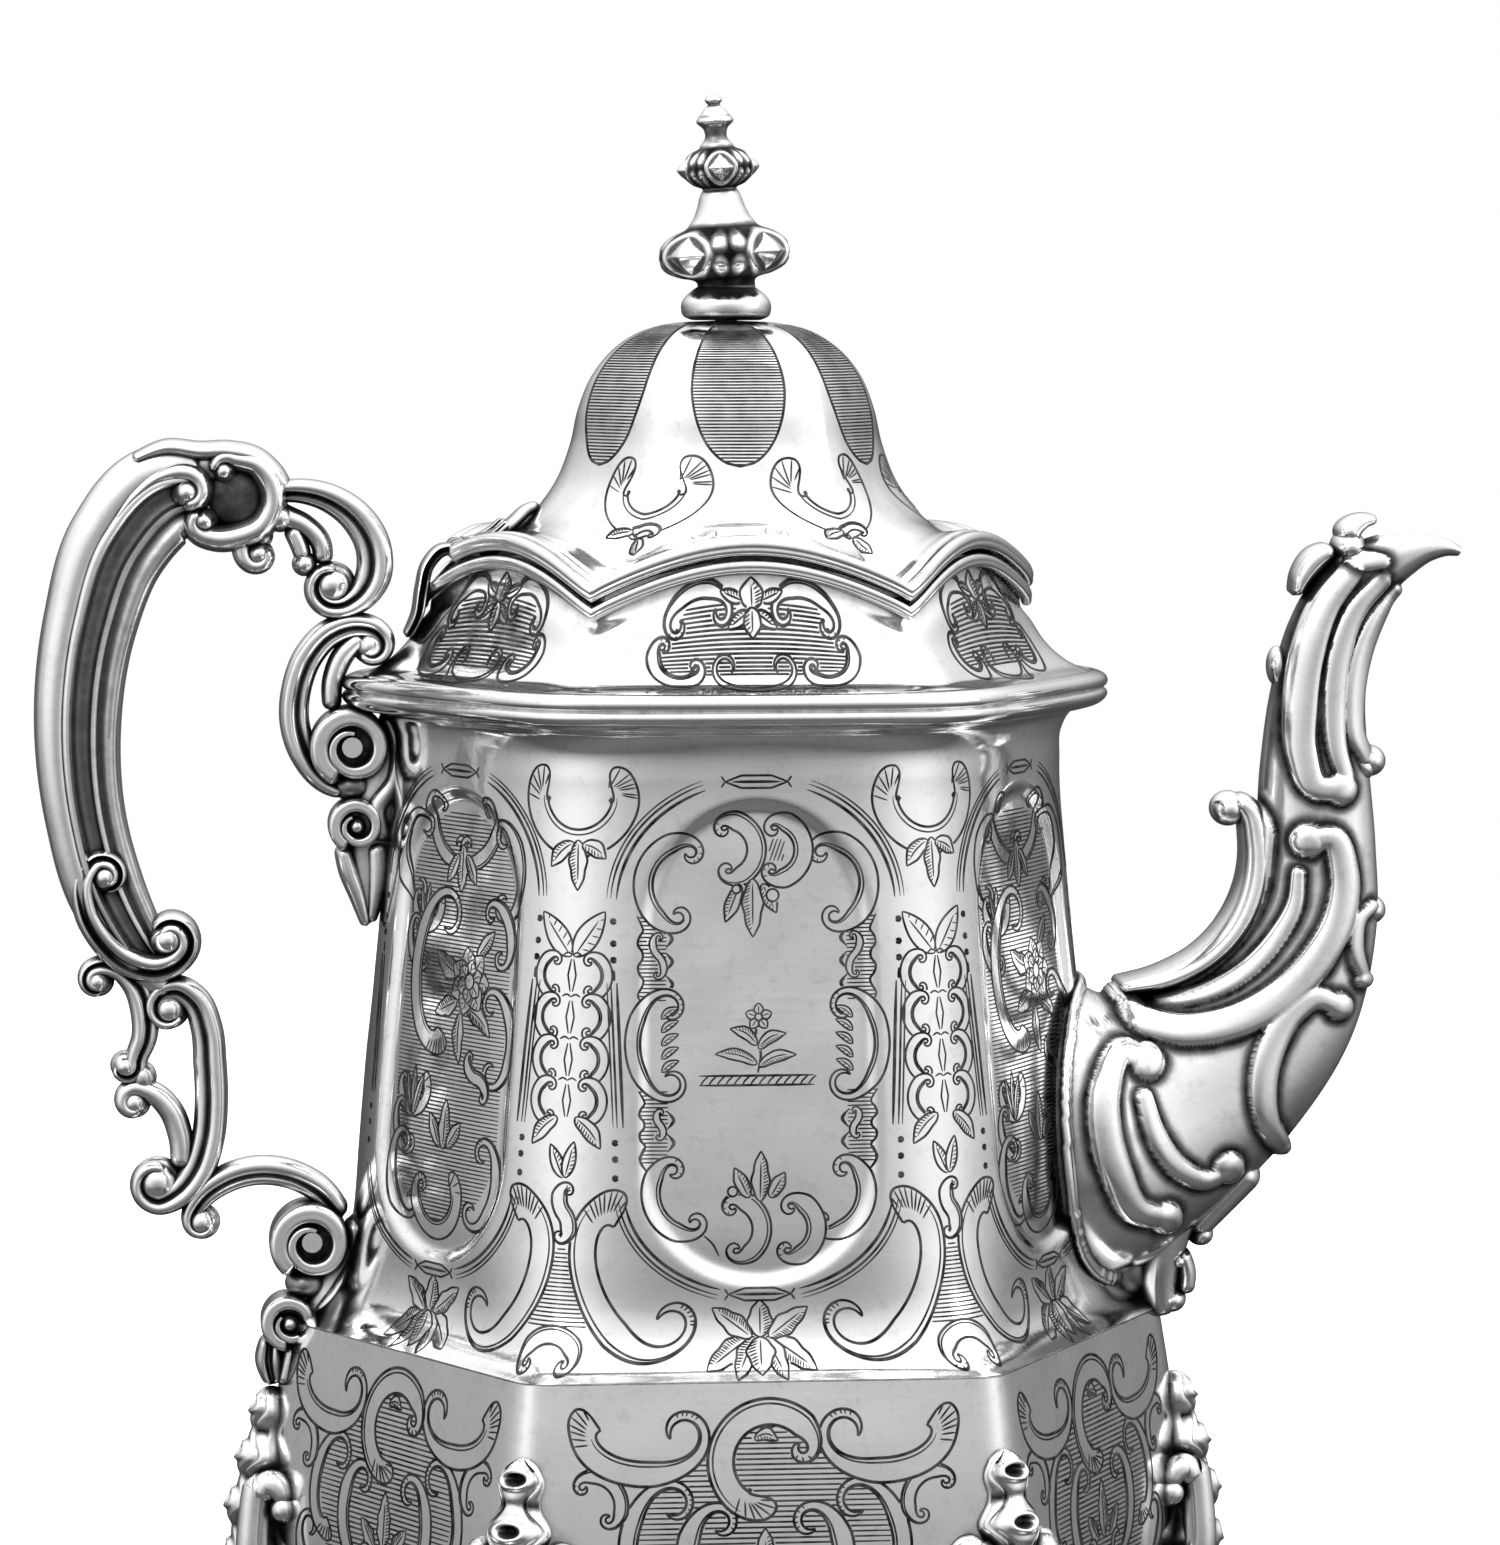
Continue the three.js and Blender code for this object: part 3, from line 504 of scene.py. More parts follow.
def volute(form, centre, radius, thick, turns, start, hole=False, eye=0.27):
    """A flat scroll: a band that winds in to an eye, over a sunk disc, the same on both sides."""
    x, z = centre
    core = np.linspace(0, 2 * math.pi, 64, endpoint=False)
    disc = ((.1, .5), (.5, .5), (.66, .46), (.70, .3), (.70, -.3), (.66, -.46), (.5, -.5), (.1, -.5))
    form.rings(np.array([np.stack([x + radius * r * np.cos(core), np.full(64, thick * y),
                                   z + radius * r * np.sin(core)], -1) for r, y in disc]), dark=0.9)
    t = np.linspace(0, turns, int(50 * turns))
    angle = math.radians(start) - t * 2 * math.pi
    r = radius * np.interp(t, [0, 0.45, 0.8, 1.05, turns], [0.75, 0.75, 0.65, 0.48, 0.36])
    half = radius * np.interp(t, [0, 0.45, 1.0, turns], [0.25, 0.25, 0.16, 0.07])
    thick_now = thick * (1.0 + 0.06 * t / turns)
    rows = np.stack([x + r * np.cos(angle), z + r * np.sin(angle), half, thick_now], -1)
    sweep(form, rows, FLAT_BAND, ends=(0.8, 1), count=int(120 * turns))
    if hole:
        form.knob((x, 0, z), (radius * 0.26, thick * 0.6, radius * 0.26), dark=1.0)
    else:
        form.knob((x, 0, z), (radius * eye, thick * 1.08, radius * eye), dark=0.05, count=28)


# The handle: the long grip, its overlaid scrolls, the open scrollwork and the mounts on the body.

GRIP = [[-85.6, 243.8, 6.4, 4.6], [-93.6, 242.2, 8.6, 5.6], [-100.8, 234.4, 8.6, 6],
    [-105.5, 221.5, 7.8, 6], [-107.8, 204.3, 7.2, 6], [-106.6, 188.8, 6.7, 5.8], [-103, 175.9, 6.5, 5.5],
    [-98.4, 167.6, 5.4, 5], [-95.6, 164, 4.6, 4.6]]
grip = Form()
sweep(grip, GRIP, ROLLED, ends=(0.4, 0.5), length=64)
scroll_bar(grip, [[-101.4, 238.2, 0.9, 5.9], [-98, 242.4, 1.4, 6], [-94, 245.4, 1.7, 6],
    [-90, 246.2, 2.2, 5.9]], end=(-89.6, 242.9, 2), profile=ROUND_BAND)
scroll_bar(grip, [[-104.4, 182.2, 1.8, 6.1], [-106.9, 179, 2.1, 6.4], [-106.6, 173.8, 2.3, 6.5],
    [-104, 168.9, 2.5, 6.4], [-99.8, 165.2, 2.7, 6.2], [-94.8, 164, 2.6, 6], [-91, 165.8, 2.4, 5.8]],
    start=(-103.4, 179.4, 2), end=(-93.2, 168.9, 2.4), flip=True)
cast("fine_handle_grip", grip, "handle_grip")

top = Form()
top.knob((-81.8, 0, 242.2), (5.6, 3.2, 5.6), dark=0.86, count=30)
top.knob((-86.0, 0, 247.2), (3.6, 4.0, 3.0), dark=0.3, count=24)
scroll_bar(top, [[-81.8, 248.4, 1.9, 5.3], [-78, 247.4, 2.2, 5.4], [-75.6, 244.2, 2.4, 5.3],
    [-75.4, 240.4, 2.4, 5.1], [-77.4, 237.2, 2.4, 5], [-81, 235.6, 2.4, 5], [-84.8, 235.2, 2.3, 5.2],
    [-87.8, 236.2, 2, 5.2]], start=(-83.4, 246.4, 1.5), end=(-86.8, 238.2, 1.6), profile=ROUND_BAND,
    turn=150)
sweep(top, [[-98.6, 248.2, 1, 5], [-92.8, 250.2, 1.5, 5.2], [-87.3, 249.6, 1.7, 5.3],
    [-82.4, 249.6, 1.8, 5.2], [-78.4, 248.6, 1.9, 4.9], [-75.2, 246, 1.8, 4.4], [-73.2, 243, 1.5, 3.8]])
scroll_bar(top, [[-75.6, 242.6, 1.7, 3.4], [-71.6, 243, 2, 3.6], [-66.4, 241.9, 2.4, 3.7],
    [-61.6, 238.6, 2.8, 3.8], [-58.8, 233.6, 3, 3.9], [-58.9, 228.6, 3, 3.9], [-61.2, 225.2, 2.5, 3.8],
    [-64.6, 223.6, 2, 3.7]], end=(-65.6, 227.4, 2.3), flip=True)
sweep(top, [[-75.8, 240.4, 1.8, 3.2], [-73.4, 238.8, 2, 3.4], [-70.2, 237.4, 1.8, 3.4],
    [-67.6, 234.6, 1.8, 3.3], [-67, 230.6, 1.6, 3]])
top.knob((-74.2, 0, 238.6), (2.5, 4.4, 2.5))
top.knob((-70.2, 0, 230.9), (2.1, 3.8, 2.1))
sweep(top, [[-72.6, 237.4, 1.6, 3.1], [-71.0, 234.0, 1.6, 3.2], [-70.2, 231.2, 1.4, 3.1]])
scroll_bar(top, [[-79.6, 236.8, 1.7, 3.0], [-80.6, 234.2, 1.7, 3.1], [-79.8, 231.4, 1.6, 3.2]],
           end=(-77.8, 232.6, 1.5), profile=ROUND_BAND, turn=200)
sweep(top, [[-78.0, 236.4, 2.2, 2.8], [-76.0, 234.0, 1.8, 2.8]])
cast("fine_handle_top", top, "handle_upper_scroll")

bracket = Form()
scroll_bar(bracket, [[-58, 219.6, 1.9, 3.2], [-61.6, 220.7, 2.2, 3.3], [-66, 219.4, 2.4, 3.3],
    [-69.6, 215.6, 2.5, 3.3], [-71.6, 210.4, 2.5, 3.3], [-72, 204.6, 2.5, 3.3], [-70.4, 199.4, 2.5, 3.4],
    [-66.6, 194.8, 2.3, 3.4], [-63.4, 193, 1.6, 3.2]], start=(-59.4, 217.2, 1.8))
sweep(bracket, [[-60.4, 219, 1.5, 2.9], [-63.8, 215.8, 1.9, 3], [-65.6, 211.6, 1.8, 3],
    [-65.8, 206.4, 1.6, 2.9]])
cast("fine_handle_bracket", bracket, "handle_bracket")

socket = Form()
volute(socket, (-62.7, 200.4), 6.9, 5.7, 1.5, 250)
volute(socket, (-61.9, 187.4), 4.7, 4.7, 1.4, 250, eye=0.40)
sweep(socket, [[-57, 206.4, 1.7, 4.6], [-54.8, 200.8, 2.2, 5], [-55.4, 195, 2.3, 4.8],
    [-58.4, 190.4, 2.1, 4.6], [-57, 184.4, 1.8, 4]])
sweep(socket, [[-64.4, 184.2, 1.4, 3.8], [-63.2, 179.8, 1.7, 3.7], [-61.6, 175.4, 1.5, 3.2],
    [-60.2, 170.4, 0.9, 2.2]])
sweep(socket, [[-58.6, 185.2, 2, 3.7], [-58.2, 180.2, 2.2, 3.6], [-58.8, 175.2, 1.6, 3],
    [-59.6, 171, 0.9, 2.1]])
sweep(socket, [[-55.4, 207, 1.8, 3.2], [-55.8, 200, 4.2, 3.5], [-57.6, 191.4, 4.6, 3.4],
    [-59.4, 183, 4.2, 2.6], [-59.8, 175.6, 2.4, 2.2], [-59.8, 171.4, 1, 1.8]], PLAIN_BAND)
socket.knob((-62.6, 0, 194.0), (3.4, 4.0, 2.6), dark=0.5, count=24)
cast("fine_handle_upper_mount", socket, "handle_upper_socket")

low = Form()
scroll_bar(low, [[-104.9, 164.2, 1.7, 3.2], [-101.4, 163.8, 2, 3.4], [-98.6, 161, 2.3, 3.5],
    [-97.2, 156.8, 2.4, 3.5], [-97.2, 152.4, 2.2, 3.5], [-98.6, 148.2, 1.9, 3.4]],
    start=(-104.8, 161.8, 1.6), end=(-100.4, 147.6, 1.5))
scroll_bar(low, [[-99.4, 143.8, 1.6, 3], [-96, 143, 1.9, 3.2], [-93, 140, 2.1, 3.3],
    [-91.4, 135.6, 2.1, 3.2], [-91.2, 130, 1.8, 3]], start=(-98.9, 141.4, 1.6), profile=ROUND_BAND)
scroll_bar(low, [[-94.8, 159.4, 1.8, 3.4], [-92, 160.4, 2.2, 3.5], [-88.8, 158.4, 2.5, 3.6],
    [-86.9, 153.6, 2.7, 3.7], [-86.4, 147.8, 2.8, 3.7], [-86.2, 141.4, 2.8, 3.7], [-86.8, 135.2, 2.8, 3.7],
    [-88.6, 129.8, 2.8, 3.7], [-91.8, 126, 2.6, 3.6], [-95.6, 124.6, 2.1, 3.6]], start=(-93, 157, 2),
    end=(-95.2, 128, 2.5), flip=True)
sweep(low, [[-100.4, 166.6, 2.4, 3.8], [-96.8, 163.0, 2.9, 3.6], [-92.6, 159.6, 2.3, 3.4]])
low.knob((-97.4, 0, 145.6), (2.2, 3.2, 2.6), dark=0.2, count=24)
cast("fine_handle_low_scroll", low, "handle_lower_scroll")

arm = Form()
scroll_bar(arm, [[-89.8, 121.6, 1.6, 3], [-88.2, 125, 2.1, 3.2], [-84.4, 128, 2.4, 3.2],
    [-79, 129.6, 2.5, 3.2], [-73.4, 129, 2.5, 3.2], [-68.4, 126.4, 2.4, 3.2], [-64.4, 121.6, 2, 3.2]],
    start=(-87.9, 121.2, 1.8), flip=True)
cast("fine_handle_arm", arm, "handle_lower_arm")

foot_mount = Form()
volute(foot_mount, (-69.9, 117.6), 6.9, 5.7, 1.5, 240, hole=True)
volute(foot_mount, (-73.5, 104.2), 4.8, 4.7, 1.4, 270, eye=0.42)
sweep(foot_mount, [[-60.8, 122.6, 2, 3.2], [-62.2, 114.6, 4.6, 3.5], [-65.4, 107.6, 4.8, 3.5],
    [-69.4, 101.4, 3.8, 3.4], [-72.6, 96.4, 2.6, 2.8]], PLAIN_BAND)
sweep(foot_mount, [[-63, 121.6, 1.6, 4.6], [-61.8, 115.6, 2.3, 4.8], [-64.6, 109.6, 2.6, 4.8],
    [-68.4, 104.4, 2.2, 4.4], [-70, 99, 1.6, 3.8]])
sweep(foot_mount, [[-76.6, 102.0, 1.6, 3.8], [-77.0, 98.0, 2.3, 3.8], [-76.2, 93.4, 1.5, 3.0]], GROOVED)
sweep(foot_mount, [[-72.6, 101.0, 2.0, 3.8], [-73.4, 96.8, 2.2, 3.6], [-74.8, 93.2, 1.6, 3.0]])
foot_mount.knob((-70.8, 0, 110.6), (3.4, 4.0, 2.6), dark=0.5, count=24)
cast("fine_handle_lower_mount", foot_mount, "handle_lower_socket")


# The spout: one curved pipe, its relief laid along the lines of the scrolls on each side.

SPOUT = [[52, 134, 24, 22], [62, 135.5, 25.5, 22.5], [71.5, 138.5, 21.2, 17.5], [83.3, 146, 17, 13.5],
    [92.6, 156.8, 14.2, 11], [97.8, 170, 11.4, 9.4], [98.8, 182, 10, 8.4], [98.6, 195.5, 9, 7.6],
    [99, 207.2, 7.9, 6.8], [101.2, 218.8, 7, 6.2], [106, 227.6, 5.9, 5.7], [113, 231.8, 3.9, 5],
    [117.4, 232.9, 2.4, 4.2], [120.4, 232.8, 1.5, 3.4], [122.2, 232.2, 0.9, 2.6]]
# Each raised band: its line, its half width and height, then the radius of a bulb at either end.
RELIEF = [
    ([(67.6, 142.6), (69.4, 136.4), (74, 130), (78.8, 127.8), (82.6, 129.6)], 2, 1.4, 0, 2.9),
    ([(94.6, 178.6), (94, 173.4), (91.4, 168.4), (86, 162.4), (79, 158.6), (72, 157.2)], 1.6, 1, 0, 0),
    ([(102.4, 194.6), (101, 199.4), (100.6, 205.9), (101.6, 215.6), (104.4, 223), (108.6, 227.6)],
     2.1, 1.1, 0, 0),
    ([(106.4, 197.6), (104.4, 201.4), (104, 206.4), (105, 213.6), (107.8, 220.4), (111.6, 225.4)],
     2, 1.1, 0, 0),
    ([(107, 172.6), (104.9, 171.2), (103.9, 166.4), (105.7, 160.4)], 1.6, 1.2, 0, 1.7),
    ([(87, 190.4), (89, 186.4), (88.6, 180.6), (86.6, 173.1), (82.3, 166.8), (75.6, 161.6), (67, 159.6)],
     2.6, 1.5, 0, 0),
    ([(101.6, 192.6), (97.6, 193), (95.3, 198.6), (95.2, 206.6), (96.5, 215.6), (99.4, 223.6),
      (103.6, 229.2)], 2.8, 1.3, 2.8, 0),
    ([(101.2, 156.2), (97.2, 157.8), (93, 155.4), (89.6, 150), (88.1, 143.2), (89.3, 136.5),
      (92.4, 132.4)], 2.6, 1.6, 2.5, 1.6),
    ([(68.6, 148), (64.2, 149.6), (60.8, 143.6), (60.7, 137.6), (62.6, 130.6), (66.4, 123.8),
      (71.8, 121.9)], 2.9, 1.8, 3.2, 2.9),
    ([(96.2, 184), (99.8, 184.4), (102, 178.6), (101.2, 171.2), (97.3, 164), (90.4, 157.4),
      (81.6, 153.4), (73.2, 152.9), (67.4, 155.4), (66, 158.6)], 3, 1.9, 3.1, 2.4),
    ([(102.6, 234.2), (104.2, 231.4), (108.6, 230.6)], 1.8, 0.8, 0, 0)]


def relief_at(x, z):
    """The height of the raised bands at points of the long plane, and how dark the hollows are."""
    high, dark = np.zeros(x.shape), np.zeros(x.shape)

    def lay(gap, width, tall):
        band = tall * np.where(gap < 0, np.clip(1 - np.clip(1 + gap / width, 0, 1) ** 2.6, 0, 1) ** 0.6, 0)
        edge = np.where(gap > -0.15, np.exp(-((gap - 0.3) / 1.0) ** 2), 0) * 0.97
        return band, edge

    for line, half, tall, bulb_a, bulb_b in RELIEF:
        path = smooth(line, 90)
        s = np.linspace(0, 1, 90)
        width = half * (0.66 + 0.34 * np.sin(math.pi * np.clip(s * 0.9 + 0.05, 0, 1)))
        near = (x > path[:, 0].min() - 7) & (x < path[:, 0].max() + 7)
        near &= (z > path[:, 1].min() - 7) & (z < path[:, 1].max() + 7)
        gap = np.hypot(x[near][:, None] - path[:, 0], z[near][:, None] - path[:, 1]) - width
        k = gap.argmin(1)
        band, edge = lay(gap[np.arange(len(k)), k], width[k], tall)
        high[near] = np.maximum(high[near], band)
        dark[near] = np.where(band > 0.3 * tall, 0.0, np.maximum(dark[near], edge))
        for r, (cx, cz) in ((bulb_a, line[0]), (bulb_b, line[-1])):
            if r:
                band, edge = lay(np.hypot(x[near] - cx, z[near] - cz) - r, r, tall + 0.3)
                clear = (band > 0.3 * tall) | (high[near] > 0.5 * tall)
                dark[near] = np.where(clear, 0.0, np.maximum(dark[near], edge))
                high[near] = np.maximum(high[near], band)
    return high, dark


SQUARE = 0.94                     # below 1 the pipe's section is a little squared
MOUTH_CUT = 0.085                 # how far the mouth is cut back over its top
BORE_SHARE = 0.76                 # the bore's width over the pipe's
EDGE_OUT, EDGE_HALF = 2.0, 1.0    # the border round the root: half its width and half its height


def spout_skin(count=430, around=300):
    """The pipe with its relief, its bore, and a raised border where the root meets the body."""
    path = smooth(SPOUT, 600)
    theta = np.linspace(0, 2 * math.pi, around, endpoint=False)
    mouth = 1 - MOUTH_CUT * step((np.cos(theta) - 0.80) / 0.16)

    def at(s, scale):
        k = np.clip(s * 599, 0, 598.999)
        i = k.astype(int)
        f = (k - i)[..., None]
        row = path[i] * (1 - f) + path[i + 1] * f
        way = unit(path[np.minimum(i + 2, 599)][..., :2] - path[np.maximum(i - 1, 0)][..., :2])
        side = np.stack([-way[..., 1], way[..., 0]], -1)
        c, q = np.cos(theta), np.sin(theta)
        c, q = np.sign(c) * np.abs(c) ** SQUARE, np.sign(q) * np.abs(q) ** SQUARE
        xz = row[..., :2] + side * (row[..., 2] * c * scale)[..., None]
        return np.stack([xz[..., 0], row[..., 3] * q * scale, xz[..., 1]], -1)

    s = np.linspace(0, 1, count)[:, None] * mouth[None, :]
    outer = at(s, 1.0)
    du = np.roll(outer, -1, 1) - np.roll(outer, 1, 1)
    dv = np.gradient(outer, axis=0)
    n = unit(np.cross(dv, du))
    if (n[count // 2] * (outer[count // 2] - outer[count // 2].mean(0))).sum() < 0:
        n = -n
    high, dark = relief_at(outer[..., 0], outer[..., 2])
    fade = step((1 - s / mouth) / 0.04)
    outer = outer + n * (high * fade)[..., None]
    back = np.linspace(1, 0.0, 60)[:, None] * mouth[None, :]
    inner = at(back, BORE_SHARE)
    form = Form()
    # The bore is darkened evenly at 0.6: painted shade inside the pipe.
    form.rings(np.concatenate([outer, inner]), closed=True,
               dark=np.concatenate([dark * fade, np.full(inner.shape[:2], 0.6)]))
    reach = np.hypot(outer[..., 0], outer[..., 1])
    wall = plan(np.arctan2(outer[..., 1], outer[..., 0]),
                *(np.interp(outer[..., 2], upper.rows[:, 1], upper.rows[:, k]) for k in (0, 2)))
    first = (reach > wall + 0.2).argmax(0)
    line = outer[first, np.arange(around)]
    way = unit(np.roll(line, -1, 0) - np.roll(line, 1, 0))
    up = unit(line * [1, 1, 0])
    out = unit(np.cross(way, up))
    a = np.linspace(0, 2 * math.pi, 14, endpoint=False)
    tube = (line[:, None] + out[:, None] * (EDGE_OUT * np.cos(a))[None, :, None]
            + up[:, None] * (EDGE_HALF * np.sin(a) + 0.1)[None, :, None])
    form.rings(tube, closed=True)
    return form


def bulb_bar(form, rows, bulb):
    """A band that ends in a solid bulb: (x, z, radius, half thickness)."""
    x, z, r, thick = bulb
    sweep(form, rows)
    form.knob((x, 0, z), (r, thick, r), count=32)


spout = spout_skin()
bulb_bar(spout, [[65.6, 159.2, 1.2, 8], [73.4, 160.6, 2, 8.2], [80.2, 164, 2.4, 7.8],
    [85.8, 170.2, 2.7, 7.2], [88.5, 177.4, 2.8, 6.4], [88.6, 184, 2.6, 5.6], [87.2, 189, 2.2, 4.9],
    [84.6, 190.8, 1.7, 4.4]], (84.2, 189, 3, 4.5))
bulb_bar(spout, [[103.6, 206, 1.2, 6.2], [104.2, 200.4, 1.9, 5.8], [106, 196, 2.3, 5.2],
    [108.4, 195, 1.9, 4.6]], (107.6, 196.9, 2.7, 4.8))
bulb_bar(spout, [[105, 160.4, 1.5, 7.2], [103.9, 166, 2.1, 6.8], [105.4, 171.4, 2.2, 5.8],
    [108, 173.4, 1.7, 4.8]], (108, 171.6, 2.5, 4.8))
sweep(spout, [[94.8, 224.8, 0.9, 4.2], [96.2, 228.4, 1.9, 4.6], [98.4, 231.2, 2.2, 4.7],
    [101.4, 232.8, 1.4, 4.4]])
bulb_bar(spout, [[108.6, 237.6, 0.7, 2.2], [106.2, 237.4, 1.5, 3.4], [104, 236, 2.2, 4.4],
    [103, 233.6, 2.4, 5]], (103.8, 233, 2.9, 5.4))
spout.knob((92.2, 0, 213.0), (1.7, 3.4, 3.4), count=28)
spout.knob((67.4, 0, 111.6), (4.6, 5.4, 6.0), dark=0.55, count=28)
# curls and a pendant under the root
bulb_bar(spout, [[88.6, 129.6, 3.6, 8.4], [84.2, 124.6, 3.4, 7.2], [80.6, 120.2, 3, 6],
    [78.6, 116.6, 2.1, 4.8]], (80, 116.8, 2.2, 4.8))
sweep(spout, [[77.6, 124.6, 3.6, 8.4], [74.6, 118.6, 4.2, 7.6], [73, 112.4, 3.9, 6.6],
    [73, 107.2, 3.4, 5.4], [74, 102.6, 2.2, 4.2]])
bulb_bar(spout, [[76.2, 114.6, 1.6, 6.4], [77.4, 110.6, 1.8, 5.6], [77.2, 106.4, 1.7, 4.9]],
    (75.2, 105.8, 2.5, 5.4))
spout.knob((75.8, 0, 112.6), (1.8, 6.6, 1.8), count=28)
ROOT_X, REACH = 60.0, 0.03        # the spout is drawn out a little beyond its root, as the photo shows
for part in spout.points:
    part[:, 0] += REACH * np.maximum(part[:, 0] - ROOT_X, 0)
cast("fine_spout", spout, "spout_far_half", "spout_near_half", crease=60)


# ---- the finial ------------------------------------------------------------------------------

def lathe(profile, count=160, shape=None, rows=200):
    """Rings turned about the z axis, and their hollows. shape(angle, z) gives a swell and a hollow."""
    fine = smooth(profile, rows)
    a = np.linspace(0, 2 * math.pi, count, endpoint=False)
    r, z = np.maximum(fine[:, 0], 0.02)[:, None], fine[:, 1][:, None]
    grow, dark = shape(a[None, :], z) if shape else (0, np.zeros((rows, count)))
    r = np.maximum(r + grow, 0.02)
    return np.stack([r * np.cos(a), r * np.sin(a), z + 0 * a], -1), dark


def bosses(angle, z):
    """Two tiers of diamond-cut bosses in round frames, at four corners and then at four sides, with painted
    shade on the sunk ground round them and under the rings of the stem.
    """
    grow, dark = np.zeros((len(z), angle.shape[1])), np.zeros((len(z), angle.shape[1]))
    for middle, wide, tall, turn, size in ((4.6, 27, 3.7, 45, 1.7), (18.8, 25, 2.7, 0, 1.4)):
        off = np.abs((np.degrees(angle) - turn + 45) % 90 - 45)
        a, b = off / wide, np.abs(z - middle) / tall
        far = np.hypot(a, b)
        here = step((1.5 - b) * 3)
        diamond = np.clip(1 - (a + b) / 0.84, 0, 1)
        rim = np.exp(-((far - 1.0) / 0.16) ** 2)
        lobe = np.exp(-(((off - 36) / 7.0) ** 2 + ((b - 0.58) / 0.44) ** 2) ** 2)
        grow += size * here * (0.85 * diamond + 0.42 * rim + 0.36 * lobe - 0.26)
        # Painted shade: the sunk ground round each frame and the pits between diamond and frame are darkened
        # in colour.
        inside = np.clip((1.15 - far) * 9, 0, 1)
        pit = (diamond <= 0) * np.clip((0.90 - far) * 12, 0, 1)
        shade = np.maximum(1 - np.maximum(lobe, inside), 0.8 * pit)
        dark = np.maximum(dark, np.clip(shade, 0, 1) * here)
    # Painted shade under the ball, the cap and the rings of the stem.
    neck_shade = np.exp(-((z + 0.4) / 1.3) ** 2) + 0.8 * np.exp(-((z - 24.3) / 1.1) ** 2)
    neck_shade = neck_shade + 0.9 * np.exp(-((z - 29.25) / 0.28) ** 2) + 0.5 * np.exp(-((z - 27.4) / 0.22) ** 2)
    return grow, np.clip(dark + 0.9 * neck_shade, 0, 1)


FINIAL_Z, FINIAL_LEAN = 277.5, math.radians(-4)
FINIAL = [[5, -1.9], [4.8, -0.9], [5.4, 0.2], [7.9, 1.1], [10.2, 2.6], [10.9, 4.6], [10.3, 6.4], [8.7, 7.9],
    [6.4, 9.1], [5, 10.3], [4.1, 12.1], [3.5, 14], [3.1, 15.4], [4.3, 16.3], [5.9, 17.8], [6.1, 19.2],
    [4.9, 21], [2.8, 22.6], [1.8, 24.1], [2, 25.3], [3.1, 26.6], [2.3, 27.8], [1.4, 28.9], [1, 29.3],
    [1.45, 30], [1, 30.75], [0, 31]]
finial = Form()
turnings, hollow = lathe(FINIAL, 300, bosses, 330)
c, s = math.cos(FINIAL_LEAN), math.sin(FINIAL_LEAN)
lean = np.array([[c, 0, s], [0, 1, 0], [-s, 0, c]])
finial.rings(turnings @ lean.T + [0, 0, FINIAL_Z], dark=hollow)
cast("fine_finial", finial, "finial", body="lid", crease=50)
foot = Form()
turnings, hollow = lathe([[0, 271.2], [3.2, 271.2], [6.2, 271.3], [7.2, 271.9], [7.5, 272.9], [7.4, 274],
    [6.8, 275], [5.8, 275.9], [5, 276.5], [0, 276.9]], 120, rows=90)
foot.rings(turnings)
cast("fine_finial_base", foot, "finial_base", body="lid")


# ---- corner leaves, scroll feet and the hinge ------------------------------------------------

LEAF = [[76.2, 93.2, 2, 2.4], [76.9, 87.6, 3.3, 4], [78, 79.6, 4.5, 5.2], [79.2, 70, 5.2, 6.2],
    [78.6, 58, 4.6, 6.6], [74.6, 48.6, 3.4, 5.4]]
RUFFLES = 5.6                     # lobes down a leaf
FOOT = [[72.6, 47.4, 3, 4.8], [66.4, 38.4, 3.6, 5.2], [63.4, 28.8, 3.4, 4.8], [64.6, 18.6, 3, 4.2],
    [69.8, 9.8, 2.8, 4.2], [76, 5.4, 2.8, 4.6]]


def rope(form, path, count=60, around=20):
    """A round bar through rows of x, y, z and radius, rounded off at both ends."""
    line = smooth(path, count)
    run = np.r_[0, np.cumsum(np.linalg.norm(np.diff(line[:, :3], axis=0), axis=1))]
    near = np.minimum(np.minimum(run, run[-1] - run) / line[:, 3], 1)
    radius = line[:, 3] * np.sqrt(np.clip(1 - (1 - near) ** 2, 0.001, 1))
    way = unit(np.gradient(line[:, :3], axis=0))
    out = unit(np.cross(way, np.cross([1.0, 0.2, 0.1], way)))
    side = np.cross(way, out)
    a = np.linspace(0, 2 * math.pi, around, endpoint=False)
    ring = out[:, None] * np.cos(a)[None, :, None] + side[:, None] * np.sin(a)[None, :, None]
    form.rings(line[:, None, :3] + ring * radius[:, None, None])


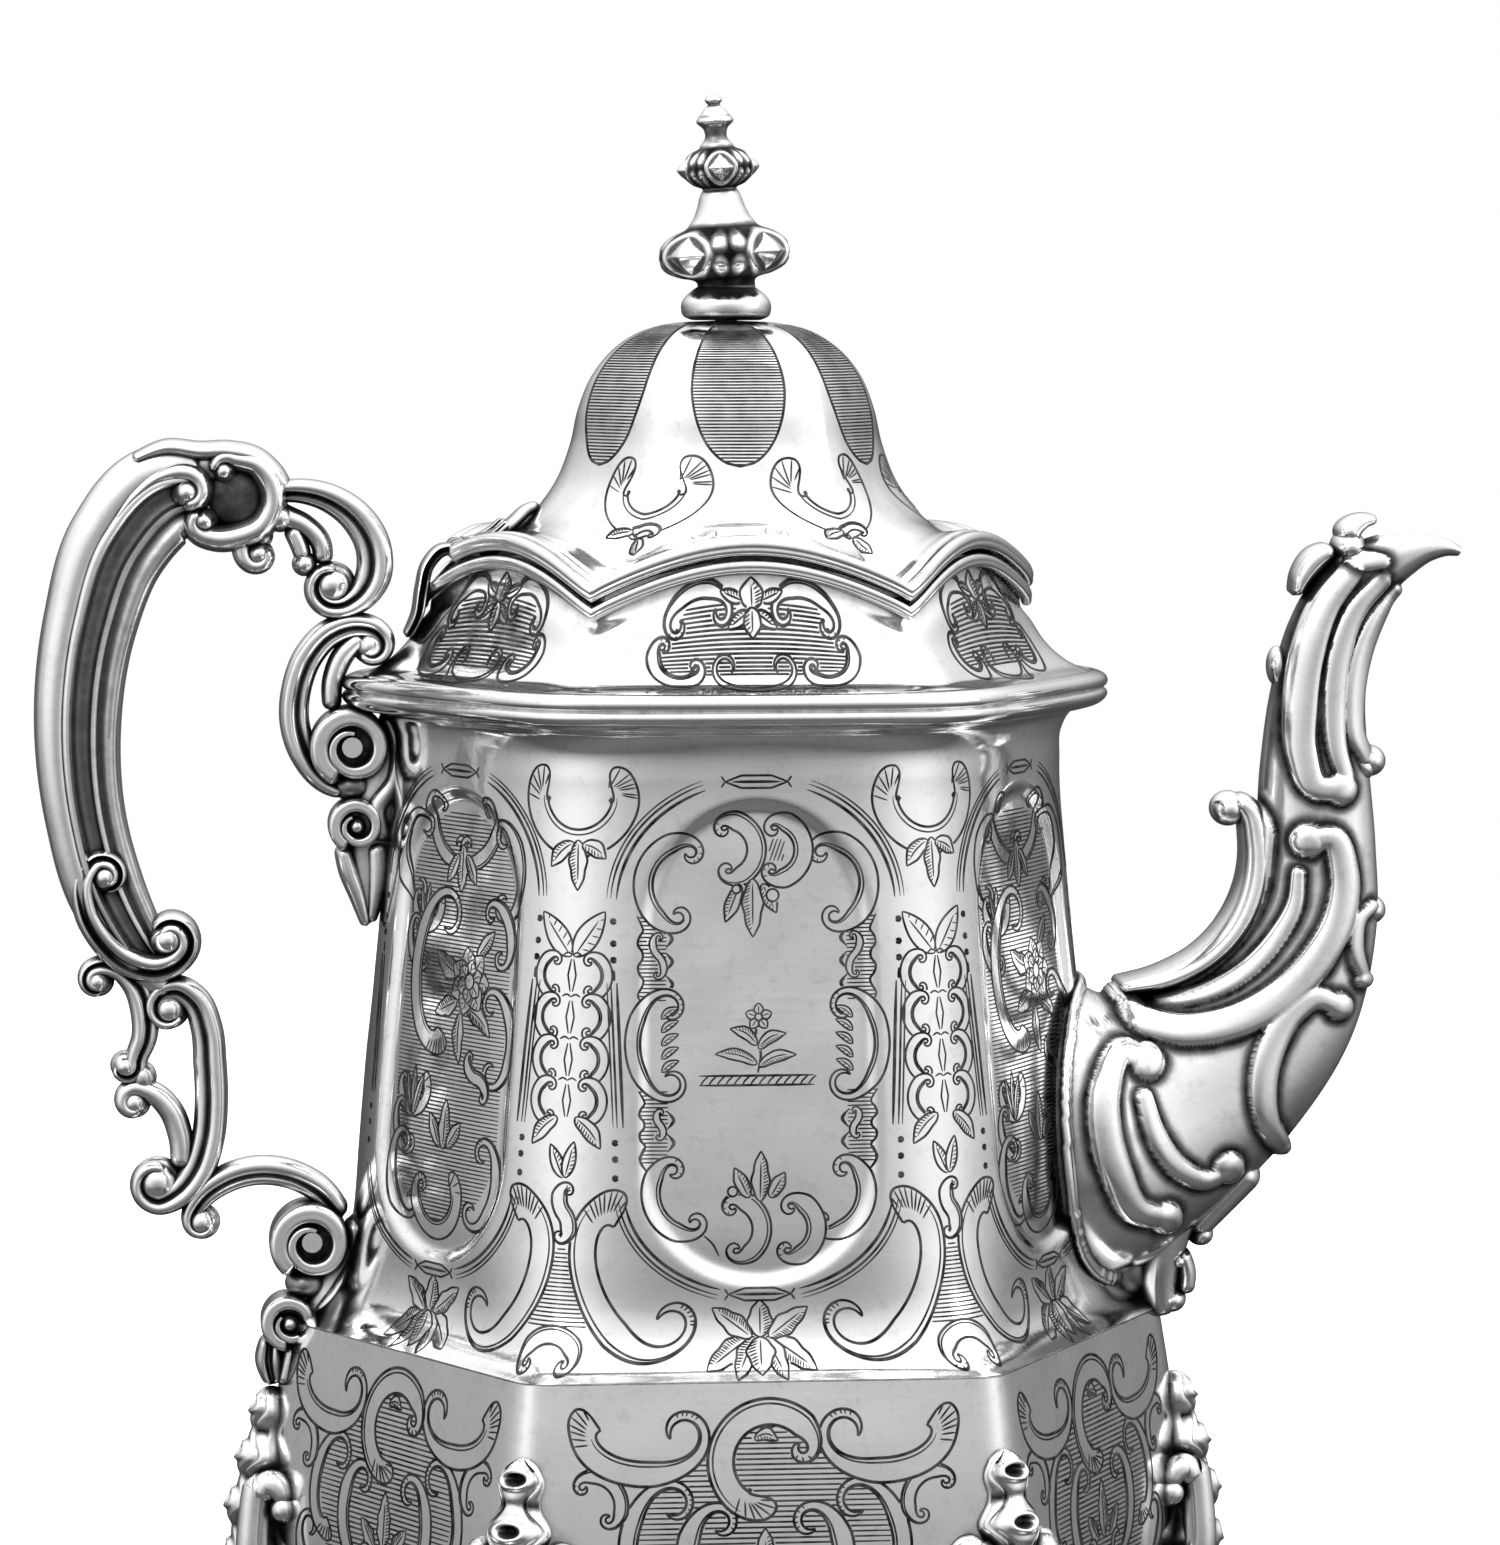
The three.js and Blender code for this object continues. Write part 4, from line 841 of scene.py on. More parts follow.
def leaf(count=260, around=130):
    """A cast leaf up a corner: a row of lobes with sunk eyes, and curled bars at its sides."""
    path = smooth(LEAF, count)
    s = np.linspace(0, 1, count)[:, None]
    th = np.linspace(0, 2 * math.pi, around, endpoint=False)[None, :]
    along = unit(np.gradient(path[:, :2], axis=0))
    side = np.stack([-along[:, 1], along[:, 0]], -1)
    ends = np.sqrt(np.clip(1 - (1 - np.minimum(np.minimum(s, 1 - s) / 0.035, 1)) ** 2, 0.0009, 1))
    q, c = np.sin(th), np.cos(th)
    edge = np.abs(q)
    phase = (s * RUFFLES + 0.10) % 1
    lobe = 0.5 - 0.5 * np.cos(2 * math.pi * phase)
    wide = path[:, 3:4] * (0.74 + 0.36 * lobe) * ends
    high = path[:, 2:3] * (0.88 + 0.20 * np.roll(lobe, 10, 0)) * ends
    outer = c < 0
    a, b = wide * q, (phase - 0.5) * (path[0, 1] - path[-1, 1]) / RUFFLES
    hole = np.hypot(a / 1.5, b / 0.75)
    rim = np.exp(-((hole - 1.75) / 0.55) ** 2)
    crease = np.exp(-((edge - 0.70 + 0.16 * np.cos(2 * math.pi * phase)) / 0.085) ** 2)
    valley = np.exp(-((phase - np.round(phase)) / 0.10) ** 2)
    lift = (0.75 * rim - 1.3 * np.exp(-hole**4) - 0.7 * crease - 0.35 * valley) * outer * ends
    dark = np.clip(1.2 * np.exp(-hole**4) + 0.75 * crease * (0.4 + 0.6 * valley)
                   + valley * np.clip(2.2 * edge - 0.7, 0, 1), 0, 1) * outer
    across = lift - high * c * 0.92
    xz = path[:, None, :2] + side[:, None, :] * across[..., None]
    form = Form()
    form.rings(np.stack([xz[..., 0], wide * q, xz[..., 1]], -1), dark=dark)
    for way in (-1, 1):
        rope(form, [[73.8, 8.0 * way, 74.6, 1.8], [75.4, 7.5 * way, 77.2, 2.2], [78, 6.4 * way, 76.8, 2.5],
            [79.6, 5.8 * way, 72.6, 2.7], [80, 5.8 * way, 66.6, 2.8], [79.4, 5.6 * way, 60.4, 2.6],
            [77.4, 5.2 * way, 54.4, 1.9]])
        form.knob((74.6, 7.9 * way, 73.8), (2.3, 2.3, 2.3), count=24)
        rope(form, [[74.4, 7.4 * way, 63, 1.5], [74.8, 9.0 * way, 60, 1.9], [74.6, 8.6 * way, 56.2, 1.9],
            [74.4, 6.4 * way, 52.6, 1.5]])
    return form


def scroll_foot():
    """A cast scroll foot: a leafy knee over a volute, with a flat pad under it."""
    form = Form()
    sweep(form, FOOT, MOULDED, ends=(1, 0.6), length=40)
    volute(form, (78.4, 5.2), 5.0, 4.9, 1.4, 200)
    sweep(form, [[69.4, 43, 1.2, 4.6], [62.8, 36.8, 1.8, 5], [59.4, 29, 1.9, 4.8], [60.4, 21, 1.6, 4.4],
        [64.4, 15.2, 1.1, 3.8]], PLAIN_BAND)
    form.knob((64.6, 0, 14.8), (2.0, 4.4, 2.0))
    sweep(form, [[75.2, 1.3, 1.3, 4.5], [81.6, 1.3, 1.3, 4.5]], PLAIN_BAND)
    return form


one_leaf, one_foot = leaf(), scroll_foot()
for k in range(SIDES):
    cast(f"fine_corner_leaf_{k + 1}", one_leaf.turned(CORNER * k), f"leaf_mount_{k + 1}", crease=60)
    cast(f"fine_scroll_foot_{k + 1}", one_foot.turned(CORNER * k), f"scroll_foot_{k + 1}")

BORE = 1.15                       # the knuckles' bore round the CAD's pin, mm


def knuckle(form, profile):
    """A bored barrel on the hinge line: its profile is rows of radius and y, from bore to bore."""
    barrel, _ = lathe(profile, 40, rows=60)
    form.rings(barrel[..., [0, 2, 1]] + [HINGE_X, 0, HINGE_Z], closed=True)


hinge = Form()
for y0, y1 in ((-10.5, -4.2), (4.2, 10.5)):
    middle = (y0 + y1) / 2
    knuckle(hinge, [[BORE, y0], [1.4, y0], [1.75, y0 + 0.25], [1.88, y0 + 0.8], [1.75, y0 + 1.3],
        [1.86, y0 + 1.7], [1.9, y0 + 2.4], [1.9, middle + 0.6], [1.9, y1 - 1.4], [1.88, y1 - 0.7],
        [1.78, y1 - 0.2], [1.4, y1], [BORE, y1]])
    sweep(hinge, [[-43.4, 234.35, 0.8, 3.1], [-42.4, 234.4, 0.8, 3], [-39.6, 235.4, 0.9, 2.8],
        [-36.6, 237.9, 0.8, 2.2]], MOULDED, y=middle)
scroll_bar(hinge, [[-42.3, 234.7, 1, 9.8], [-40.6, 234.7, 1.2, 8.6], [-38.2, 235.6, 1.2, 6.6],
    [-35.6, 237.6, 1.2, 4.8], [-33.4, 239.6, 1.1, 3.2], [-31.2, 240.6, 0.8, 1.6]], profile=PLAIN_BAND)
cast("fine_lid_hinge", hinge, "lid_hinge_leaf", body="lid")

post = Form()
knuckle(post, [[BORE, -3.8], [1.45, -3.8], [1.8, -3.6], [1.9, -3.2], [1.9, -2.4], [1.9, -1.2], [1.9, 0],
    [1.9, 1.2], [1.9, 2.4], [1.9, 3.2], [1.8, 3.6], [1.45, 3.8], [BORE, 3.8]])
scroll_bar(post, [[-45, 233.4, 1, 3.8], [-47.6, 233, 1.2, 3.8], [-49.8, 230.6, 1.2, 4.4],
    [-50.8, 226.8, 1.2, 5.4], [-51.6, 222.4, 1.1, 6], [-53.4, 218.6, 0.9, 4.4]], profile=GROOVED, flip=True)
piece("fine_body_hinge", post, "pot", CAST, ["body_hinge_leaf"])

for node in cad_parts.values():
    for held in node.material_slots:
        held.material = PLAIN


# ---- engraving -------------------------------------------------------------------------------

def spaced(points, gap=0.45):
    """A line's points, evenly spaced."""
    p = np.asarray(points, float)
    run = np.r_[0, np.cumsum(np.linalg.norm(np.diff(p, axis=0), axis=1))]
    count = max(int(math.ceil(run[-1] / gap)) + 1, 3)
    x = np.linspace(0, run[-1], count)
    return np.stack([np.interp(x, run, p[:, 0]), np.interp(x, run, p[:, 1])], -1)


def inside(points, shape):
    """Which points lie in a closed shape."""
    x, y = points[:, 0], points[:, 1]
    low, high = shape.min(0), shape.max(0)
    near = (x >= low[0]) & (x <= high[0]) & (y >= low[1]) & (y <= high[1])
    found = np.zeros(len(points), bool)
    if near.any():
        a, b = shape, np.roll(shape, -1, 0)
        px, py = x[near][:, None], y[near][:, None]
        rise = np.where(np.abs(b[:, 1] - a[:, 1]) < 1e-9, 1e-9, b[:, 1] - a[:, 1])
        cross = ((a[:, 1] > py) != (b[:, 1] > py))
        cross &= px < (b[:, 0] - a[:, 0]) * (py - a[:, 1]) / rise + a[:, 0]
        found[near] = cross.sum(1) % 2 == 1
    return found


def half_scroll(rise, wind, count=72):
    """From a scroll's middle to its eye: an arc of `rise` radians, then a tightening spiral."""
    a = np.linspace(0, rise + wind, count)
    past = np.maximum(a - rise, 0)
    r = (0.25 + 0.75 * np.exp(-2.2 * past)) * np.exp(-0.13 * past)
    dx, dy = r * np.sin(a), r * np.cos(a)
    d = a[1] - a[0]
    x = np.r_[0, np.cumsum((dx[1:] + dx[:-1]) / 2 * d)]
    y = np.r_[0, np.cumsum((dy[1:] + dy[:-1]) / 2 * d)]
    eye = np.array([x[-1] + r[-1] * math.cos(a[-1]), y[-1] - r[-1] * math.sin(a[-1])])
    return np.stack([x, y], -1), r, eye


CURL, BULB = 5.2, 2.3             # how far an end winds round, in radians
BOLD, BROAD = 1.3, 1.2            # every drawn width as cut, and every scroll's breadth
BULBS = (BULB, BULB)


def scroll_line(a, b, depth, ends=(CURL, CURL), wave=False):
    """A C-scroll from eye a to eye b, bulging left by depth (right if negative), or an S if wave."""
    a, b = np.asarray(a, float), np.asarray(b, float)
    chord = np.linalg.norm(b - a)
    best = None
    for rise in ((0.9,) if wave else np.linspace(0.1, 2.5, 25)):
        low, r_low, eye_low = half_scroll(rise, ends[0])
        high, r_high, eye_high = half_scroll(rise, ends[1])
        flip = -1 if wave else 1
        first, start = low * [flip, -1], eye_low * [flip, -1]
        line = np.concatenate([first[::-1], high[1:]])
        r = np.concatenate([r_low[::-1], r_high[1:]])
        way = (eye_high - start) / np.linalg.norm(eye_high - start)
        scale = chord / np.linalg.norm(eye_high - start)
        local = (line - start) @ np.array([[way[0], -way[1]], [way[1], way[0]]]) * scale
        miss = 0 if wave else abs(local[:, 1].max() - abs(depth))
        if best is None or miss < best[0]:
            best = miss, local, r
    _, local, r = best
    if depth < 0:
        local = local * [1, -1]
    way = (b - a) / chord
    return a + local @ np.array([[way[0], way[1]], [-way[1], way[0]]]), r


class Ink:
    """Engraved lines on a flat drawing, in mm. A shape drawn later hides the lines under it."""

    def __init__(self):
        self.lines, self.shapes = [], []

    def line(self, points, width=0.30, taper=0.5, gap=0.45):
        p = spaced(points, gap)
        s = np.linspace(0, 1, len(p))
        self.lines.append((p, width * (1 - taper * (2 * s - 1) ** 4)))

    def curve(self, points, width=0.30):
        self.line(smooth(points, 40), width)

    def hide(self, shape):
        self.shapes.append(shape)
        kept = []
        for p, w in self.lines:
            out = ~inside(p, shape)
            if out.all():
                kept.append((p, w))
                continue
            edges = np.flatnonzero(np.diff(np.r_[0, out.astype(int), 0]))
            kept += [(p[i:j], w[i:j]) for i, j in zip(edges[::2], edges[1::2]) if j - i > 1]
        self.lines = kept

    def hatch(self, shape, pitch=0.66, angle=0.0, width=0.20):
        """Parallel lines that fill a closed shape."""
        c, s = math.cos(math.radians(angle)), math.sin(math.radians(angle))
        turn = np.array([[c, -s], [s, c]])
        p = np.asarray(shape, float) @ turn
        q = np.roll(p, -1, 0)
        for y in np.arange(p[:, 1].min() + pitch / 2, p[:, 1].max(), pitch):
            hit = (p[:, 1] > y) != (q[:, 1] > y)
            x = np.sort(p[hit, 0] + (y - p[hit, 1]) * (q[hit, 0] - p[hit, 0]) / (q[hit, 1] - p[hit, 1]))
            for x0, x1 in zip(x[::2], x[1::2]):
                if x1 - x0 > 0.5:
                    self.line(np.array([[x0, y], [x1, y]]) @ turn.T, width, 0.35)

    def band(self, centre, half, width, inner, fans):
        """A double-lined band with shading strokes across it between pairs of fractions."""
        way = unit(np.gradient(centre, axis=0))
        left = np.stack([-way[:, 1], way[:, 0]], -1)
        h = np.asarray(half)[:, None]
        one, two = centre + left * h, centre - left * h
        self.hide(np.concatenate([one, two[::-1]]))
        self.line(one, width, 0.2)
        self.line(two, width, 0.2)
        count = len(centre)
        if inner:
            self.line((centre + left * h * 0.62)[int(count * 0.24):int(count * 0.76)], width * 0.62, 0.7)
        for start, stop, side in fans:
            i, j = int(start * (count - 1)), int(stop * (count - 1))
            run = np.linalg.norm(np.diff(centre[i:j + 1], axis=0), axis=1).sum()
            for k in np.linspace(i, j, max(int(run / 0.55), 3)).astype(int):
                self.line([centre[k] + left[k] * h[k] * side * 0.97,
                           centre[k] - left[k] * h[k] * side * 0.25 + way[k] * h[k] * 0.3], width * 0.6, 0.9)

    def scroll(self, x0, y0, x1, y1, depth, fat=2.4, ends=(CURL, CURL), wave=False, width=0.30, shade=True):
        """A scroll between two eyes, with curled or bulbous ends."""
        line, r = scroll_line((x0, y0), (x1, y1), depth, ends, wave)
        fat *= BROAD
        s = np.linspace(0, 1, len(line))
        half = fat / 2 * r**0.6 * np.clip(np.minimum(s, 1 - s) / 0.14, 0, 1) ** 0.6
        for end, t in zip(ends, (s, 1 - s)):
            if end == BULB:
                swell = fat / 2 * (1 + 0.35 * np.exp(-((t - 0.09) / 0.09) ** 2))
                swell = swell * np.sqrt(np.clip(1 - (1 - np.minimum(t / 0.05, 1)) ** 2, 0.0001, 1))
                half = np.where(t < 0.5, swell, half)
        side = 1 if depth > 0 else -1
        fans = []
        if shade:
            fans = [(0.02, 0.26, side), (0.74, 0.84, side)] if ends[0] == BULB else [(0.16, 0.30, side)]
            fans += [(0.76, 0.98, side)] if ends[1] == BULB else []
        self.band(line, half, width, fat > 1.5, fans)

    def scrolls(self, *rows, **look):
        for row in rows:
            self.scroll(*row, **look)

    def petal(self, x0, y0, x1, y1, wide, lobes=0, bend=0.0, width=0.28, fill=0.6):
        """A leaf from base to tip, with pointed lobes down its sides, a rib and shading strokes."""
        base = np.array([x0, y0], float)
        way = np.array([x1, y1], float) - base
        long = np.linalg.norm(way)
        way = way / long
        left = np.array([-way[1], way[0]])
        t = np.linspace(0, 1, 60)
        points = 1 + (0.22 * (np.abs((t * (lobes + 0.5)) % 1 * 2 - 1) - 0.5) if lobes else 0)
        w = wide / 2 * np.sin(math.pi * t**0.8) ** 0.8 * points
        spine = base + np.outer(t * long, way) + np.outer(bend * np.sin(math.pi * t), left)
        one, two = spine + np.outer(w, left), spine - np.outer(w, left)
        self.hide(np.concatenate([one, two[::-1]]))
        self.line(one, width, 0.4)
        self.line(two, width, 0.4)
        self.line(spine[4:48], width * 0.7, 0.9)
        if fill:
            for k in np.linspace(6, 52, max(int(long / fill), 3)).astype(int):
                self.line([two[k] * 0.94 + spine[k] * 0.06, spine[k] * 0.75 + two[k] * 0.25 - way * 0.5],
                          width * 0.55, 0.9)

    def petals(self, *rows, **look):
        for row in rows:
            self.petal(*row, **look)

    def dot(self, u, v, r=0.5):
        self.line(oval(u, v, r * 0.5, r * 0.5, count=9), r, 0, 0.2)

    def ringlet(self, u, v, r):
        shape = oval(u, v, r, r, count=24)
        self.hide(shape)
        self.line(shape, 0.25, 0)

    def add(self, other, flip=1):
        """Lays another drawing over this one, mirrored left to right where flip is -1."""
        for shape in other.shapes:
            self.hide(shape * [flip, 1])
        self.lines += [(p * [flip, 1], w) for p, w in other.lines]

    def mirrored(self, draw):
        """Draws twice: as it is, and mirrored left to right."""
        half = Ink()
        draw(half)
        self.add(half)
        self.add(half, -1)

    def press(self, form, locate, lift):
        """Lays the lines on a skin as fine raised threads of dark metal."""
        p = np.concatenate([p for p, _ in self.lines])
        w = np.concatenate([w for _, w in self.lines]) * BOLD
        way = np.concatenate([unit(np.gradient(line, axis=0)) for line, _ in self.lines])
        left = np.stack([-way[:, 1], way[:, 0]], -1) * (w / 2)[:, None]
        q = np.stack([p + left, p, p - left], 1)
        out = lift + np.array([0, 0.04, 0])[None, :] + np.zeros((len(p), 1))
        quads, start = [], 0
        for line, _ in self.lines:
            i = 3 * (start + np.arange(len(line) - 1))
            quads += [np.stack([i + k, i + k + 1, i + k + 4, i + k + 3], -1) for k in (0, 1)]
            start += len(line)
        form.add(locate(q[..., 0], q[..., 1], out), np.concatenate(quads))


def oval(u, v, a, b, start=0, stop=360, count=60):
    t = np.radians(np.linspace(start, stop, count))
    return np.stack([u + a * np.cos(t), v + b * np.sin(t)], -1)


def panel_border(ink):
    """Broken lines and lozenges round a long panel of the upper body."""
    def half(d):
        for grow, w in ((0, 0.42), (0.95, 0.28), (1.6, 0.2)):
            d.line(oval(0, 178.4, 22.4 + grow, 20.0 + grow, 111, 176), w, 0.8)
            d.line(oval(0, 133.8, 21.5 + grow, 16.4 + grow, 186, 253), w, 0.8)
            d.line([(-22.4 - grow, 166.6), (-21.6 - grow, 143.8)], w, 0.7)
        for v in (176.3, 172.8, 170.2, 141.4, 138.8, 135.8):
            d.dot(-22.9, v)
        d.line([(-22.9, 168.6), (-22.8, 166.9)], 0.35)
    ink.mirrored(half)
    for v in (198.4, 117.3):
        for side in (-1, 1):
            ink.line([(-5, v), (-2.4, v + side), (2.4, v + side), (5, v)], 0.28, 0.3)
            ink.line([(-5.6, v + side * 0.9), (-5, v)], 0.25)
            ink.line([(5.6, v + side * 0.9), (5, v)], 0.25)
        ink.line([(-4, v), (4, v)], 0.35, 0.9)


def front_panel():
    """The cartouche of scrolls on the front and back panels, round a plain field with a sprig."""
    ink = Ink()

    def half(d):
        for low, high in ((163.6, 177.2), (138, 149.6)):
            edge = [(-14.6, low), (-14.4, high)]
            rim = [(-18.6 - 0.5 * math.sin(k * 1.7), low + (high - low) * k / 12) for k in range(13)]
            d.hatch(edge + rim[::-1], 0.62)
            d.curve(rim, 0.28)
            d.scroll(-15.6, high - 3.4, -16, low + 4.4, 1.3, 0.9, wave=True, shade=False, width=0.24)
        for v in (166.4, 170, 173.6, 141.4, 145):
            d.curve([(-14.6, v - 1.4), (-13.4, v), (-14.6, v + 1.4)], 0.26)
            d.curve([(-14.2, v - 0.8), (-13.7, v), (-14.2, v + 0.8)], 0.18)
        d.scrolls((-10.4, 187, -12.4, 177.2, -6.6, 2.5), (-14, 162.6, -13.8, 151, -4.9, 2))
        for k in range(5):
            v = 152.6 + 2.1 * k
            d.petal(-15.4, v, -12.6, 154.4 + 2.1 * k, 1.2, bend=0.3, fill=0.8, width=0.22)
        d.scroll(-13.6, 137, -10.2, 128.8, -5.4)
        d.curve([(-17.9, 136.8), (-18.9, 138.6), (-18.4, 140.6)])
        d.curve([(-8.8, 126.6), (-7.4, 125.2), (-6.4, 123.2)], 0.26)
    ink.mirrored(half)
    ink.scrolls((-5.2, 190.9, -4.6, 184.4, 4.9, 2.5), (2.4, 184.3, 2.8, 190.9, -4.9, 2.5))
    ink.hatch([(2, 185.8), (4.4, 185.8), (4.6, 189.2), (2.2, 189.4)], 0.6, 70, 0.18)
    ink.petals((-2.6, 182.2, -5, 176.2, 2.3, 1), (-0.6, 183, -0.6, 173.8, 3.2, 2),
               (1, 182.2, 3.2, 177.6, 2.2, 1))
    ink.ringlet(2.6, 180.4, 1)
    ink.ringlet(-3.2, 181.4, 0.7)
    ink.scrolls((-4.4, 131, -3.8, 124.2, 4.6, 2.5), (4.4, 124.2, 5, 131, -4.6, 2.5))
    ink.petals((-1.6, 132.6, -3.9, 137.4, 2.2, 1), (0.2, 132, 0.4, 140, 2.8, 2),
               (1.8, 132.6, 4.2, 136.6, 2.2, 1))
    ink.ringlet(-4.2, 133.6, 0.8)
    # a small flowering sprig over a twisted bar
    for k in range(14):
        u = -9.2 + 1.33 * k
        ink.curve([(u, 150.5), (u + 0.5, 151.2), (u + 1.3, 151.9)], 0.22)
    for v in (151.95, 150.45):
        ink.line([(-9.4, v), (9, v)], 0.3, 0.6)
    ink.curve([(0, 152.4), (0.5, 155.4), (-0.3, 158.6), (0.2, 160.6)], 0.34)
    for side, v, reach, rise in ((1, 153.4, 6.2, 1.8), (-1, 153.8, 6.8, 1.6), (1, 156.2, 4.6, 2.4),
                                 (-1, 156.8, 4.4, 2.6)):
        ink.petal(0.1 * side, v, reach * side, v + rise, 1.9, 1, 0.7 * side, 0.24, 0.5)
    for k in range(5):
        c, s = math.cos(math.radians(90 + 72 * k)), math.sin(math.radians(90 + 72 * k))
        ink.petal(0.2 + 0.5 * c, 161.2 + 0.5 * s, 0.2 + 2.2 * c, 161.2 + 2.2 * s, 1.5, fill=0, width=0.22)
    ink.ringlet(0.2, 161.2, 0.6)
    panel_border(ink)
    return ink


def side_panel():
    """The flower and scrolls on a hatched ground, for the panels either side."""
    ink = Ink()
    ground = np.concatenate([oval(0, 177, 15.5, 15, 0, 180), oval(0, 140, 15.5, 15, 180, 360)])
    ink.hatch(ground, width=0.19)
    ink.scrolls((-7, 192.6, -1, 186.2, -4.6, 2.3), (7.4, 192.4, 1.2, 186.2, 4.6, 2.3),
                (-11.5, 188.6, -12.6, 178.6, -5), (11.6, 188.2, 12.4, 177.6, 5))
    ink.petals((0, 186.4, 0.2, 178.6, 3.4, 2), (-1.2, 184.8, -4.2, 180, 2.4, 1),
               (1.2, 184.8, 4.4, 180.2, 2.4, 1))
    for base in (183, 153):
        ink.scroll(-12.8, base - 6, -6.6, base - 6.4, -4.2, 2, (CURL, BULB))
        for k in (-1, 0, 1):
            ink.petal(-9.6, base - 11.4, -9.6 + 2.6 * k, base - 3.4 - abs(k), 1.9, 1, fill=0.5, width=0.24)
        ink.scroll(-13, base - 10.4, -9.8, base - 15.8, -3.2, 1.8)
    ink.scrolls((-2.6, 174.4, -4.4, 157.4, -7.8, 2.8, (CURL, BULB)), (9.4, 175.8, 12.8, 169, 3.2, 2),
                (11, 161.2, 12.4, 150.6, 3.6, 2.1))
    ink.scroll(6.6, 152.4, 10.8, 146.4, 3, 1.9, wave=True)
    ink.petals((4, 160.4, 11.6, 156.2, 3, 2, 0.8), (2.6, 159.4, 3.4, 151.2, 3, 2, -0.6),
               (1.4, 161.2, -4.8, 158.8, 3.2, 2), (1.6, 165.4, -5.8, 168.8, 3.4, 2, 0.6),
               (6.4, 168.6, 10.8, 173.2, 2.6, 1))
    for tier, count, reach, wide in ((0, 7, 5.6, 4.2), (1, 6, 3.6, 2.9)):
        for k in range(count):
            a = 2 * math.pi * k / count + 0.4 * tier
            c, s = math.cos(a), math.sin(a)
            ink.petal(4.6 + 0.8 * c, 164.6 + 0.8 * s, 4.6 + reach * c, 164.6 + reach * s, wide,
                      fill=0.7, width=0.24)
    ink.ringlet(4.6, 164.6, 1.3)
    ink.scrolls((-11.6, 136.8, -9, 127.4, -4.8, 2.3), (11.8, 137.4, 9.2, 127.6, 4.8, 2.3),
                (-5.4, 130.6, 3.4, 130.4, -7, 2.5, (CURL, BULB)))
    ink.petals((-0.8, 137.4, -4.2, 142.6, 2.6, 1), (0.4, 137, 0.6, 145.2, 3.2, 2),
               (1.6, 137.4, 5.2, 141.8, 2.6, 1))
    panel_border(ink)
    return ink


def corner_strip():
    """Down each corner of the upper body: a U-scroll, sprigs, a chain of small scrolls and swags."""
    ink = Ink()
    ink.scroll(-5.9, 196.4, 5.9, 196.4, -7.8, 3.6, BULBS, width=0.32)
    ink.petals((-0.6, 188.6, -4.6, 184.6, 2.6, 1, -0.5), (0.2, 189, 0.4, 181, 3, 2),
               (1, 188.4, 5, 186.2, 2.6, 1, 0.5))
    ink.petals((-0.3, 170.6, -5.8, 177.4, 3.8), (0.3, 170.6, 5.2, 177.8, 3.8), fill=1.4)

    def chain(d):
        for v in (167.6, 161, 154.3, 147.8):
            d.scroll(-2.9, v + 2.3, -3.1, v - 2.3, -2.9, 1.5, shade=False, width=0.27)
            d.line([(-0.2, v - 2.6), (-0.7, v), (-0.2, v + 2.6)], 0.22)
            d.curve([(-1.6, v + 3.2), (-0.8, v + 3.6), (0, v + 3.2)], 0.22)

    def swag(d):
        d.hatch([(-2.6, 123.6), (0.2, 124.6), (0.2, 111.4), (-6.4, 112.6)])
        d.scroll(-8.6, 127.6, -18.6, 113, 7.4, 3.6, (BULB, CURL), width=0.36)
    ink.mirrored(chain)
    ink.petals((-1.6, 145.2, -6.2, 140.6, 2.6, 1, -0.5), (1.6, 145.2, 6, 140.4, 2.6, 1, 0.5))
    ink.petals((-0.2, 135.6, -2.6, 140.8, 2.2), (0.2, 135.6, 1.6, 141.4, 2.2), fill=0.7)
    ink.mirrored(swag)
    ink.scroll(0.8, 133.6, -0.4, 126.4, 4, 2.2, wave=True, width=0.32)
    ink.scroll(-3.4, 106.8, 3.4, 106.8, 4.2, 2.2)
    return ink


def face_foot():
    """The leaf cluster at the foot of each face of the upper body."""
    ink = Ink()
    for base, u, v, wide in ((-1.6, -8.8, 105.8, 3.4), (1.6, 8.8, 105.8, 3.4), (-0.88, -4, 104.6, 3.2),
                             (0.88, 4, 104.6, 3.2), (-1.36, -7.6, 115.2, 3.2), (1.36, 7.6, 115.2, 3.2),
                             (0, 0, 116.4, 3.8), (0, 0, 105.2, 4.4)):
        ink.petal(base, 110.6, u, v, wide, 2, fill=0.5)
    return ink


def collar_face():
    """The hatched cartouche on each face of the collar. v is the length up the collar, in mm."""
    ink = Ink()
    ink.hatch([(-15.1, 10.1), (-12, 11.7), (-10.5, 13.9), (-5.2, 14.2), (0, 12.3), (5.2, 14.2), (10.5, 13.9),
               (12, 11.7), (15.1, 10.1), (15.7, 7.7), (13, 5.6), (5, 5.1), (-5, 5.1), (-13, 5.6),
               (-15.7, 7.7)], 0.56, 0, 0.22)

    def half(d):
        d.scrolls((-12, 11.9, -5.1, 12.8, 2.8, 1.8), (-14.3, 9.6, -9.4, 6.6, -4, 1.8), width=0.34)
        d.petals((-1.5, 14.1, -5, 15.5, 1.6), (-0.6, 12.8, -4, 11, 1.6), fill=0.5)
    ink.mirrored(half)
    ink.scroll(-4.4, 6.5, 4.4, 6.5, -1.5, 1.2, width=0.28, shade=False)
    ink.petals((0, 13.1, 0, 16.8, 3.8, 1), (0, 13.3, 0, 9.9, 2.8, 1), fill=0.45)
    return ink


def dome_run(z):
    return float(np.interp(z, dome.rows[:, 1], dome.run))


